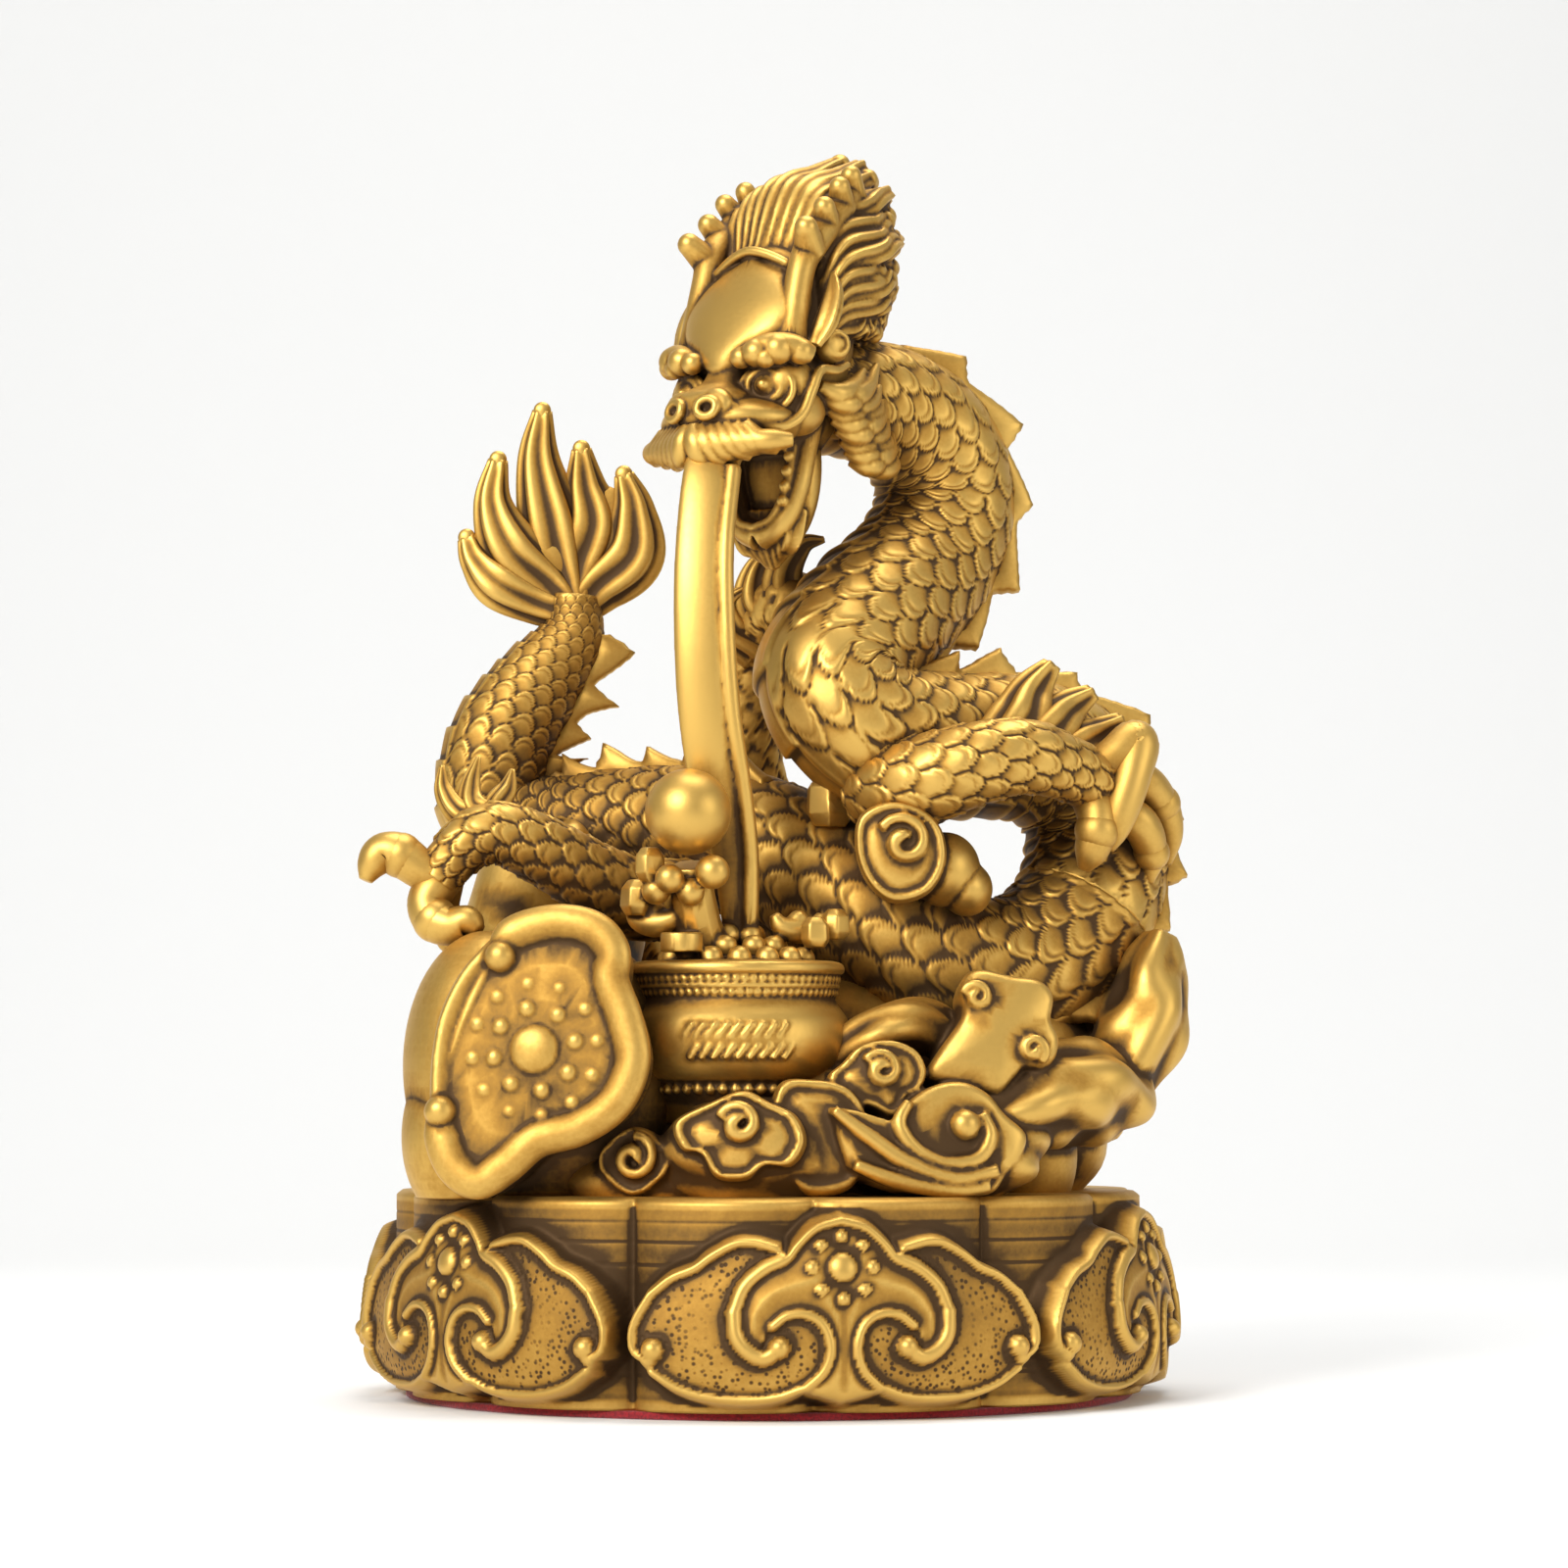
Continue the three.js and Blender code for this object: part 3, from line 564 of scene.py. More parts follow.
# The back is plainer: scrolled rolls of cloud, most of them half sunk in the bank, and a row of low billows
BACK_CLOUDS = 6
BACK_CLOUD_REACH = 38.8
LOW_BILLOWS = 9
LOW_BILLOW_REACH = 42
for i in range(BACK_CLOUDS):
    azimuth = 95 + i * 34
    aside = math.radians(azimuth)
    x, y = BACK_CLOUD_REACH * math.sin(aside), -BACK_CLOUD_REACH * math.cos(aside)
    at = np.array([x, y, 47 + 9 * (i % 2)])
    bank.add(lump((14, 11, 12), at * np.array([0.74, 0.74, 1]), azimuth, billow, 26))
    bank.add(stand(plaque(round_corners(10.5, 9, 0.06, 5), 9, 0.7, 0.3, 1.6), at, azimuth, 12))
    bank.add(stand(scroll(5, 1.3, 1.3, 1.0, 1 if i % 2 else -1, 40), at, azimuth, 12))
for i in range(LOW_BILLOWS):
    azimuth = 100 + i * 20
    aside = math.radians(azimuth)
    x, y = LOW_BILLOW_REACH * math.sin(aside), -LOW_BILLOW_REACH * math.cos(aside)
    bank.add(lump((10, 8, 7), (x, y, 36), azimuth, billow))
bank.cut_level(CASTING_FOOT)
cloud_bank = bank.pour("cloud_bank", BANK_VOXEL, BANK_TRIANGLES)

# Treasure pot, stream and pearl
# A round-bellied pot heaped with pearls and ingots stands on the clouds, and the stream from the dragon's
# mouth falls into it as a flat ribbon of brass, with the large pearl in front. All one casting with the rest.
POT_PLACE = np.array([-5.0, -29.0, 47.0])
POT_PROFILE = [
    (12.2, -3), (12.6, 0), (13.6, 1.6), (13.4, 2.8), (15.6, 4.4), (17.4, 7), (18, 10), (17.4, 13),
    (15.8, 15.4),
]
POT_LIP = [
    (15.3, 16.4), (15.4, 17.6), (16.2, 18.2), (15.7, 18.8), (15.7, 19.8), (16.7, 20.3), (16.9, 21),
    (16.5, 21.8), (15, 22.2), (13, 22), (0.6, 23),
]
TREASURE_VOXEL = 0.3
TREASURE_TRIANGLES = 70000
POT_COLUMNS = 160
STROKE_ROWS = (11.4, 8.0)
STROKES = 9
STROKE_LEAN = 0.045
STROKE_REACH = 17.75
LIP_BEADS = 72
FOOT_BEADS = 44
PEARL_RADIUS = 6.7
PEARL_PLACE = (-12.4, -40.2, 92)
BEAD_RADIUS = 1.9
STREAM = [
    (-6.4, -23, 154, 4.4), (-9, -30.5, 147, 4.3), (-10.2, -34.5, 134, 4.4), (-10.2, -36, 121, 4.6),
    (-9.4, -35.5, 108, 4.7), (-7.6, -33.5, 96, 4.6), (-5.6, -31.5, 86, 3.4), (-4.8, -30.5, 74, 2.4),
]
STREAM_FLAT = 0.34

hoard = Casting()
profile = np.vstack([smooth_line(POT_PROFILE, 48), smooth_line(POT_LIP, 60)])
turn = np.linspace(0, 2 * np.pi, POT_COLUMNS, endpoint=False)
pot_rings = []
for r, z in profile:
    level = np.column_stack([r * np.cos(turn), r * np.sin(turn), np.full(POT_COLUMNS, z)])
    pot_rings.append(POT_PLACE + level)
hoard.add(skin(np.array(pot_rings)))


def bead_row(count, reach, up, size, offset=0.0):
    for i in range(count):
        angle = 2 * np.pi * (i + offset) / count
        hoard.add(ball(size, POT_PLACE + np.array([reach * math.cos(angle), reach * math.sin(angle), up]), 8))


bead_row(LIP_BEADS, 15.8, 19.3, 0.62)
bead_row(LIP_BEADS, 15.5, 17.2, 0.55, 0.5)
bead_row(FOOT_BEADS, 13.9, 2.3, 0.8)
for count, reach, up in ((15, 10.6, 22.6), (9, 6.4, 24.4), (5, 3.0, 26.2)):
    bead_row(count, reach, up, BEAD_RADIUS, 0.37)


def ingot(place, size, turn):
    """A boat-shaped ingot: two raised ends and a round middle."""
    cos, sin = math.cos(math.radians(turn)), math.sin(math.radians(turn))
    bend = [(-1.15, 0.75, 0.25), (-0.8, 0.2, 0.5), (0, 0, 0.62), (0.8, 0.2, 0.5), (1.15, 0.75, 0.25)]
    left, front, low = place
    places = [(left + x * size * cos, front + x * size * sin, low + z * size, r * size) for x, z, r in bend]
    hoard.add(tube(places, 20, 14))
    hoard.add(lump((0.5 * size, 0.45 * size, 0.5 * size), (left, front, low + 0.45 * size)))


def nugget(place, size, turn):
    """A block with flat sides and cut corners."""
    spread = np.radians(turn + np.array([0, 70, 120, 190, 240, 310]))
    rows = ((0.7, -1.0), (1.0, -0.5), (0.95, 0.5), (0.55, 1.0))
    rings = [np.column_stack([r * np.cos(spread), r * np.sin(spread), np.full(6, z)]) for r, z in rows]
    hoard.add(skin(np.array(place) + size * np.array(rings)))


INGOTS = (((-17.6, -34, 75), 3.6, -20), ((4.6, -30, 74), 3.4, 15))
NUGGETS = (
    ((-18.4, -38.5, 84), 2.6, 20), ((-20.4, -34.5, 79), 2.8, 55), ((7.2, -34, 73.6), 2.4, 10),
    ((10.4, -30, 75), 2.4, 40), ((9.6, -13, 95.4), 4.2, 30),
)
COIN = [(-13.4, -39.5, 70.4, 3.3), (-13.4, -39.5, 73.4, 3.3)]
LOOSE_PEARLS = (
    ((-15.2, -42, 81.6), 2.3), ((-8.6, -42.6, 82.6), 2.7), ((-12, -40.5, 79.6), 2.2), ((-17.4, -38, 80), 2.3),
)
PEARL_STEM = [(-12, -37, 84, 3), (-11.6, -35, 78, 3.6), (-10, -32, 70, 4)]
for settings in INGOTS:
    ingot(*settings)
for settings in NUGGETS:
    nugget(*settings)
hoard.add(tube(COIN, 8, 28, depth=(1, 0, 0)))
for place, size in LOOSE_PEARLS:
    hoard.add(ball(size, place, 12))
hoard.add(tube(PEARL_STEM, 12, 12))

# Two rows of shallow slanting strokes on the belly
for row, up in enumerate(STROKE_ROWS):
    for i in range(STROKES):
        angle = -np.pi / 2 - 0.42 + 0.105 * (i + 0.5 * row)
        ends = []
        for share in (-1.0, 0.0, 1.0):
            around = angle + STROKE_LEAN * share
            ends.append((STROKE_REACH * math.cos(around), STROKE_REACH * math.sin(around), up + 1.1 * share))
        hoard.add(tube([(*(POT_PLACE + np.array(end)), 0.5) for end in ends], 8, 8, depth=(1, 0, 0.2)))

hoard.add(tube(STREAM, 120, 64, STREAM_FLAT))
hoard.add(tube([(x + r * 0.8, y - 0.5, z, 1.35) for x, y, z, r in STREAM[1:]], 90, 16))
hoard.add(lump((PEARL_RADIUS,) * 3, PEARL_PLACE, detail=36))
treasure = hoard.pour("treasure_pot", TREASURE_VOXEL, TREASURE_TRIANGLES)

# Ruyi head
# A thick three-lobed plaque that leans against the clouds: a heavy rounded rim that ends in two knobs,
# a flower of beads on a slightly domed face, and lobes of cloud behind it. Cast with the rest.
RUYI_PLACE = (-35.2, -50.0, 55.2)
RUYI_AZIMUTH = -8.0
RUYI_VOXEL = 0.32
RUYI_TRIANGLES = 60000
RUYI_OUTLINE = [
    (3.4, 21.4), (-3, 20.2), (-8.5, 16.4), (-12.6, 11.5), (-15.6, 4.5), (-16.6, -4.5), (-15.8, -13.5),
    (-12.8, -19.6), (-8, -22), (-3.2, -19.6), (1.2, -15.6), (7.9, -13.4), (14.2, -9), (17, -2.2),
    (16, 4.5), (13.6, 10.2), (13.4, 15.4), (9.4, 20.2),
]
RUYI_RIM = [
    (-5.6, 14.2), (-3.8, 17.6), (2.6, 19.4), (8.4, 18.4), (11.4, 15), (11.4, 10.4), (13.6, 4.6),
    (14.8, -1.8), (12.4, -7.8), (7, -11.6), (0.4, -13.6), (-4.2, -17.4), (-8.4, -19.8), (-12, -17.8),
    (-14, -13.4), (-14.4, -9.4),
]

seal = Casting()


def on_ruyi(shape):
    seal.add(stand(shape, RUYI_PLACE, RUYI_AZIMUTH, 5))


def flat_disc(radius, height):
    """A low round boss."""
    return lump((radius, radius, height), (0, 0, 0), detail=14)


def moved(shape, place):
    return shape[0] + np.array(place), shape[1]


on_ruyi(moved(plaque(RUYI_OUTLINE, 13, 0.5, 0.6, 2.4), (0, 0, 0.9)))
rim = [(x, y, 0.3, 2.9 if 0 < i < 15 else 2.2) for i, (x, y) in enumerate(RUYI_RIM)]
on_ruyi(tube(rim, 150, 24, 0.72, depth=(0, 0, 1)))
for knob in (RUYI_RIM[0], RUYI_RIM[-1]):
    on_ruyi(ball(2.5, (knob[0], knob[1], 1.0), 14))
RUYI_BAR = [(-7.6, 12.6, 0.4, 0.9), (-10.6, 6, 0.4, 0.9), (-13, -1, 0.2, 0.9), (-14.4, -7, 0, 0.9)]
on_ruyi(tube(RUYI_BAR, 30, 12, depth=(0, 0, 1)))
on_ruyi(moved(flat_disc(3.7, 1.3), (0, 0, 1.4)))
for count, reach, size in ((8, 6.3, 1.25), (12, 9.6, 1.25)):
    for i in range(count):
        angle = 2 * np.pi * (i + 0.25) / count
        x, y = reach * math.cos(angle), reach * math.sin(angle) * (1.05 if reach > 8 else 1)
        if x > -11.5 and (reach < 8 or abs(x) < 10):
            on_ruyi(moved(flat_disc(size, 0.75), (x, y, 1.25 - 0.4 * (reach > 8))))
seal.add(lump((20, 17, 25), (-33.5, -28, 50), detail=36))
seal.add(lump((13, 14, 21), (-44, -31, 53), detail=30))
seal.add(lump((9, 10, 14), (-48, -33, 42), detail=26))
seal.cut_level(CASTING_FOOT)
ruyi_head = seal.pour("ruyi_head", RUYI_VOXEL, RUYI_TRIANGLES)

# Dragon
# The long body coils from the nape down to the clouds and up again to the flame-shaped tail, with overlapping
# scales, ribbed belly plates and a hooked crest along the back. Legs, tufts and claws are cast on.
SPINE = [
    (6, -9, 161, 8.5), (17.5, 1, 161.5, 10), (26, 7, 156, 11), (28.8, 9, 146, 11.4),
    (24.5, 5, 135, 11.8), (16, -5, 125.5, 12.2), (9.5, -13, 115.5, 12), (15.5, -14, 106.5, 11.6),
    (28, -7, 104.5, 11.6), (41, 0, 104.5, 11.6), (50.5, 4, 99.5, 11.6), (53.5, 4, 89, 11.6),
    (50.5, -1, 77.5, 11.8), (41, -6, 68.5, 12.2), (28, -9, 69, 12.4), (15, -8, 77, 12.4),
    (2.5, -2, 86, 12), (-10.5, 6, 91, 11), (-24, 12, 92, 10), (-37, 15, 91.5, 9.4), (-46.5, 15, 96, 9),
    (-45.5, 15, 106.5, 8.8), (-39.5, 17, 116.5, 7.6), (-33.4, 18, 125, 5.3), (-32.8, 18, 132, 3.6),
]
BODY_STEPS = 860
BODY_SIDES = 150
SCALES_AROUND = 13
SCALE_PITCH = 0.40
SCALE_HEIGHT = 0.075
BELLY_HALF = 0.62
ROLL_FROM, ROLL_TO = 0.45, 0.76
TOOTH_STEPS = 16
CRESTS = (
    (0.045, 0.24, 7, 4.4), (0.315, 0.42, 4, 4.4), (0.43, 0.56, 6, 3.4), (0.68, 0.8, 6, 4.4),
    (0.83, 0.965, 5, 5.8),
)


def scale_relief(row, column):
    """Height of overlapping scales, 0 to 1. Each row covers the roots of the next, towards the tail."""
    height = np.zeros(np.broadcast(row, column).shape)
    bare = np.ones(height.shape, bool)
    for step in (-1, 0, 1):
        number = np.floor(row) + step
        place = column - 0.5 * (number % 2)
        aside = place - np.round(place)
        along = row - number
        reach = 0.5 + 0.95 * np.sqrt(np.clip(1 - (2 * aside) ** 2, 0, 1))
        covers = bare & (along < reach)
        from_edge = reach - along
        lift = 0.25 + 0.5 * along - 0.2 * np.exp(-(((from_edge - 0.36) / 0.1) ** 2))
        height = np.where(covers, lift * np.clip(from_edge / 0.18, 0, 1) ** 0.6, height)
        bare &= ~covers
    return height


line = smooth_line(SPINE, BODY_STEPS)
spine_at, spine_radius = line[:, :3], line[:, 3]
spine_along = np.gradient(spine_at, axis=0)
spine_step = np.linalg.norm(spine_along, axis=1)
spine_along /= spine_step[:, None]
flat_out = np.cross(spine_along, (0, 1, 0))
flat_out /= np.linalg.norm(flat_out, axis=1, keepdims=True)
spine_roll = np.pi * rise(ROLL_FROM, ROLL_TO, np.linspace(0, 1, BODY_STEPS + 1))[:, None]
spine_out = flat_out * np.cos(spine_roll) - np.cross(flat_out, spine_along) * np.sin(spine_roll)
spine_across = np.cross(spine_along, spine_out)

turn = np.linspace(0, 2 * np.pi, BODY_SIDES, endpoint=False)[None, :]
rows = np.cumsum(spine_step / (SCALE_PITCH * spine_radius))[:, None]
scaled = scale_relief(rows, (turn + spine_roll) * SCALES_AROUND / (2 * np.pi))
from_belly = np.abs(turn - np.pi)
plate = 0.1 + 0.9 * (rows * 0.8 % 1) ** 1.3
belly = rise(BELLY_HALF + 0.06, BELLY_HALF - 0.02, from_belly)
ridge = np.exp(-(((from_belly - BELLY_HALF) / 0.05) ** 2))
height = (scaled * (1 - belly) + plate * belly + 0.35 * ridge) * SCALE_HEIGHT * spine_radius[:, None]
reach = spine_radius[:, None] * (0.98 + 0.03 * np.cos(turn)) + height
rings = spine_at[:, None] + spine_out[:, None] * (reach * np.cos(turn))[..., None]
rings = rings + spine_across[:, None] * (reach * np.sin(turn))[..., None]
fore_body, hind_body = Casting(), Casting()
fore_body.add(skin(rings[: BODY_STEPS // 2 + 1]))
hind_body.add(skin(rings[BODY_STEPS // 2 :]))
body_front = fore_body.lay("dragon_body_front")
body_rear = hind_body.lay("dragon_body_rear")

dragon = Casting()


def at_share(share):
    index = int(round(share * BODY_STEPS))
    return spine_at[index], spine_radius[index], spine_along[index], spine_out[index], spine_across[index]


def crest(begin, end, teeth, tall):
    """A thin toothed blade along the back. Each tooth sweeps up towards the tail and drops behind its tip."""
    rings = []
    for step in range(teeth * TOOTH_STEPS + 1):
        share = step / (teeth * TOOTH_STEPS)
        at, radius, along, out, across = at_share(begin + (end - begin) * share)
        part = step / TOOTH_STEPS % 1
        climb = 0.25 + 0.75 * (part / 0.7) ** 1.5 if part < 0.7 else 1 - 0.75 * ((part - 0.7) / 0.3) ** 0.75
        high = tall * climb * (1 + 0.16 * math.sin(2.4 * int(step / TOOTH_STEPS)))
        rows = ((-2.2, 2.2), (high * 0.35, 1.5), (high * 0.8, 1.2), (high, 0.7))
        sides = []
        for hand in (-1, 1):
            side = []
            for up, thick in rows:
                side.append(at + out * (radius + up) + along * 0.45 * max(up, 0) + across * thick * hand)
            sides.append(side)
        rings.append(sides[0] + sides[1][::-1])
    dragon.add(skin(np.array(rings)))


for settings in CRESTS:
    crest(*settings)


def strand_relief(run, turn, radius):
    return radius * 0.17 * np.cos(5 * turn) + 0 * run


def flame_relief(run, turn, radius):
    return radius * 0.13 * np.cos(6 * turn) + 0 * run


# The tail fin: flat grooved flames, fanned out from the end of the tail
FIN_ROOT = (-32.8, 17, 128.5)
FLAMES = [
    ((-39.1, 17.6, 130.6), (-45.6, 17.2, 134), (-49.4, 17.6, 138), (-51, 18, 141.8), 3.4),
    ((-37, 18.4, 133.6), (-43.4, 18, 139.6), (-46.6, 18, 147.4), (-45.8, 18, 155), 4.0),
    ((-34.8, 19.4, 135), (-36.8, 20, 144), (-39, 19.6, 155), (-38.4, 18.6, 163.4), 4.4),
    ((-32.4, 19.8, 136), (-30, 20.4, 144), (-31.2, 20, 151), (-31.8, 19, 157), 4.2),
    ((-29, 19.4, 133.4), (-23.4, 19.8, 139), (-23, 19, 146.6), (-24.6, 18.4, 152.6), 4.4),
]
for near, belly_at, far, tip, width in FLAMES:
    places = [(*FIN_ROOT, 2.6), (*near, width * 0.95), (*belly_at, width * 1.15)]
    places += [(*far, width * 0.75), (*tip, 1.5)]
    dragon.add(tube(places, 44, 56, 0.5, flame_relief))
    dragon.add(lump((1.5, 0.8, 1.5), tip, detail=14))
dragon.add(lump((7, 1.8, 9), (-28.6, 20.4, 142)))
dragon.add(lump((7, 1.8, 6), (-39.6, 19, 137)))


def limb_scales(around, pitch):
    def relief(run, turn, radius):
        return 0.85 * scale_relief(run / pitch, turn * around / (2 * np.pi)) - 0.2

    return relief


def finger(places, size):
    """A toe with a swollen knuckle that ends in a curved claw."""
    swell = (1.1, 0.95, 1.15, 1.0, 0.95, 0.75, 0.35)
    shares = np.linspace(0, 1, len(places))
    radii = size * np.interp(shares, np.linspace(0, 1, 7), swell)
    shaped = [(*place, radius) for place, radius in zip(places, radii)]
    dragon.add(tube(shaped, 36, 22, depth=(0.3, 1, 0.2)))
    dragon.add(ball(size * 1.14, places[2], 14))


def tuft(hairs):
    for hair in hairs:
        dragon.add(tube(hair, 30, 40, 0.7, strand_relief))


FORELEG = [
    (16, -16, 96.6, 5.6), (19.6, -20.5, 96.8, 6.8), (25, -23.5, 98.2, 7.0), (32, -24.6, 100.4, 6.4),
    (40, -23.4, 101.8, 5.8), (47, -19, 100.4, 5.0), (52, -15, 98, 4.4), (54, -12, 96, 3.6),
]
dragon.add(tube(FORELEG, 150, 90, relief=limb_scales(9, 3.8)))
FORE_TOES = (
    ([(50, -15, 97.5), (55.4, -15.4, 102.6), (58.8, -14, 104.6), (58, -15.6, 99.6), (56.4, -16.2, 94.6),
      (55, -16.4, 90.4), (54, -16, 87.4)], 3.3),
    ([(51.4, -14.6, 97), (52.4, -16.4, 93.4), (52.4, -17, 90.4), (51.4, -16.4, 87),
      (50.4, -15.4, 84.4)], 3.2),
    ([(54, -12, 98), (60, -10, 99), (63.6, -6, 95.4), (65, -3.4, 90.6), (64.8, -1, 86)], 2.8),
    ([(54, -12, 95), (59.6, -10.4, 92), (61.8, -7, 87.4), (61.4, -6, 82.6)], 2.7),
)
for places, size in FORE_TOES:
    finger(places, size)
tuft([
    [(37, -20, 103, 4.6), (40.4, -17, 108.4, 4.4), (42.4, -14, 113, 3.2), (45.6, -12, 117.4, 1.5)],
    [(42, -19, 103, 4.4), (45.6, -16, 107.4, 3.8), (48.4, -13, 110.4, 2.8), (52.2, -11, 113, 1.4)],
    [(46, -18, 101, 4.0), (50, -15, 104.6, 3.2), (53.4, -12, 106.6, 2.2), (57, -10, 108.6, 1.3)],
])
HIND_LEG = [
    (-14, -4, 80, 6.4), (-21, -13, 79.6, 6.2), (-28, -19, 82.6, 5.7), (-36, -22.4, 87, 5.2),
    (-42.4, -24, 89.6, 4.8), (-47, -24.6, 88.4, 4.4), (-50.4, -25, 85, 3.8), (-52.6, -25.4, 82, 3.4),
]
dragon.add(tube(HIND_LEG, 150, 80, relief=limb_scales(8, 3.5)))
HIND_TOES = (
    ([(-51, -25, 83), (-54.4, -25.6, 83.6), (-58, -26, 86), (-60.8, -26.2, 86.4), (-62.4, -26.6, 84.4),
      (-63.4, -27, 82)], 3.2),
    ([(-52, -25, 82), (-53.8, -26, 78.6), (-52.4, -27, 75.8), (-49.6, -28.4, 74.8), (-47, -29.6, 75.4),
      (-45.2, -30.4, 74)], 3.2),
    ([(-51, -24, 82), (-52, -21, 77.6), (-50, -19.6, 73.4), (-47, -20, 71)], 2.6),
)
for places, size in HIND_TOES:
    finger(places, size)
tuft([
    [(-43.4, -24, 91, 2.6), (-49, -22.6, 93, 2.0), (-51.6, -21, 96.6, 1.4), (-52, -20, 100.6, 0.4)],
    [(-44, -24, 91.4, 2.6), (-47, -22.6, 94.4, 2.0), (-47.2, -21, 98, 1.4), (-46.2, -20, 102, 0.4)],
    [(-43, -23.6, 91.4, 2.6), (-42.8, -22.4, 94.4, 2.0), (-41.4, -21, 97, 1.4), (-40.8, -20, 100, 0.4)],
])

# The far legs, whose elbow shows past the chest, rest on the clouds behind
FAR_FORELEG = [(12, 0, 118, 7.4), (4, 3, 128, 6.0), (-2, 9, 124, 5.2), (-3, 15, 108, 4.4), (1, 21, 93, 3.8)]
dragon.add(tube(FAR_FORELEG, 100, 50, relief=limb_scales(8, 3.4)))
tuft([
    [(4, 2, 127, 4), (2.5, 0, 133, 3), (5.4, -1, 138, 1.6), (9, -2, 139, 0.5)],
    [(1, 4, 126, 4), (-2.6, 3, 130, 3), (-1.5, 2, 135.5, 1.6), (2.6, 1, 137, 0.5)],
    [(-2, 6, 122, 3.6), (-6, 4, 124.5, 2.6), (-7, 3, 129, 1.4), (-4, 2, 131.5, 0.5)],
])
FAR_HIND_LEG = [(-22, 14, 88, 7.4), (-25, 26, 81, 6), (-22, 33, 69, 4.8), (-24, 36, 61, 3.8)]
dragon.add(tube(FAR_HIND_LEG, 90, 50, relief=limb_scales(8, 3.4)))
for x in (-5, 1.5, 8):
    finger([(1.5, 22, 92), (x * 0.7, 26, 91), (x, 29, 86), (x * 1.1, 29.5, 81)], 2.7)
    finger([(-24, 36, 61), (-24 + x * 0.7, 40, 60), (-24 + x, 43, 56), (-24 + x * 1.1, 44, 51)], 2.7)
dragon_limbs = dragon.lay("dragon_limbs")

# Dragon's head
# The head looks down to the left with its mouth wide open: a smooth forehead, lumpy eyebrows, a flat snout,
# antlers and a mane swept back. It is the most finely chased part of the casting.
HEAD_PLACE = np.array([-3.0, -18.0, 166.0])
HEAD_YAW = math.radians(-38)
HEAD_VOXEL = 0.24
HEAD_TRIANGLES = 165000
STACK_SIDES = 48
RING_POINTS = 30
LIP_LOCKS = 7
CHEEK_LOCKS = 8
JAW_TEETH = 6
BEARD_LOCKS = 7
MANE_STRANDS = 25
BACK_STRANDS = 13
SKULL_ROWS = [
    (-15, 6.5, -4, 12), (-11, 9.4, -7.6, 14), (-7, 10.2, -5.8, 16), (-3.5, 10.6, -5.4, 17),
    (0, 10.4, -6.2, 18), (5, 10.2, -5.4, 19), (10, 9.9, -3.4, 20), (14.5, 9.2, -0.8, 20),
    (17.5, 6.6, 1.4, 19), (19, 3, 2.4, 18),
]
FOREHEAD_ROWS = [
    (-3.8, 2.2, -8.6, 4), (-2, 4.6, -9.2, 4), (0.5, 8.0, -8.8, 4), (4, 10.8, -7.4, 4),
    (8, 11.6, -5.5, 5), (11.5, 10.2, -3.4, 6), (14.5, 6.4, -1.5, 7), (16.6, 1.8, -0.2, 8),
]
SNOUT_ROWS = [
    (-13.4, 6.0, -12.6, 2), (-11, 6.6, -14.6, 2), (-8.6, 6.6, -14.9, 2), (-7, 5.8, -14.2, 2),
    (-5.8, 4.4, -12, 2), (-4.6, 3.6, -9.8, 2), (-2.5, 3.2, -8.4, 2), (0, 3.4, -7.6, 2),
]

skull = Casting()


def on_head(shape):
    """Turns a shape that is built facing -Y about the middle of the brow to where the dragon looks."""
    points, triangles = shape
    skull.add((spun(points, HEAD_YAW) + HEAD_PLACE, triangles))


def both_sides(places, steps, around, flat=1.0, relief=None, depth=(0, 1, 0)):
    """The same bar on the left and the right of the head."""
    for side in (-1, 1):
        on_head(tube([(side * x, y, z, r) for x, y, z, r in places], steps, around, flat, relief, depth))


def stacked(rows, square=0.6):
    """A skin over level rings, each given by height, half width, front and back. Square 1 is an ellipse."""
    angle = np.linspace(0, 2 * np.pi, STACK_SIDES, endpoint=False)
    wide, deep = np.cos(angle), np.sin(angle)
    wide, deep = np.sign(wide) * np.abs(wide) ** square, np.sign(deep) * np.abs(deep) ** square
    rings = []
    for height, half, front, back in smooth_line(rows, 40):
        depths = (front + back) / 2 + (back - front) / 2 * deep
        rings.append(np.column_stack([half * wide, depths, np.full(STACK_SIDES, height)]))
    return skin(np.array(rings))


def ring(place, facing, radius, cord, tall=1.0):
    """A round cord, such as a nostril, about a place and facing a way."""
    facing = np.array(facing, float) / np.linalg.norm(facing)
    side = np.cross((0, 0, 1), facing)
    side /= np.linalg.norm(side)
    up = np.cross(facing, side)
    angle = np.linspace(0, 2 * np.pi * 1.02, RING_POINTS)
    line = np.array(place) + np.outer(radius * np.cos(angle), side)
    line = line + np.outer(radius * tall * np.sin(angle), up)
    on_head(tube(np.column_stack([line, np.full(RING_POINTS, cord)]), 60, 10, depth=tuple(facing)))


# Forehead, skull and the root of the nose
on_head(stacked(SKULL_ROWS))
on_head(stacked(FOREHEAD_ROWS, 0.9))
on_head(lump((11.4, 13, 15.4), (0, 15.4, 16), detail=34))
on_head(tube([(0, 13, -4, 9), (0, 13, -10, 7)], 10, 24))

# Snout: a broad flat nose with two open nostrils, on a short muzzle
on_head(stacked(SNOUT_ROWS))
on_head(lump((12, 10.5, 4.4), (0, -4.6, -11), detail=30))
for side in (-1, 1):
    on_head(lump((3.2, 2.0, 3.0), (side * 3.3, -12.9, -9.4), detail=18))
    ring((side * 3.2, -15.2, -9.8), (side * 0.25, -1, 0.2), 1.6, 0.75, 0.9)

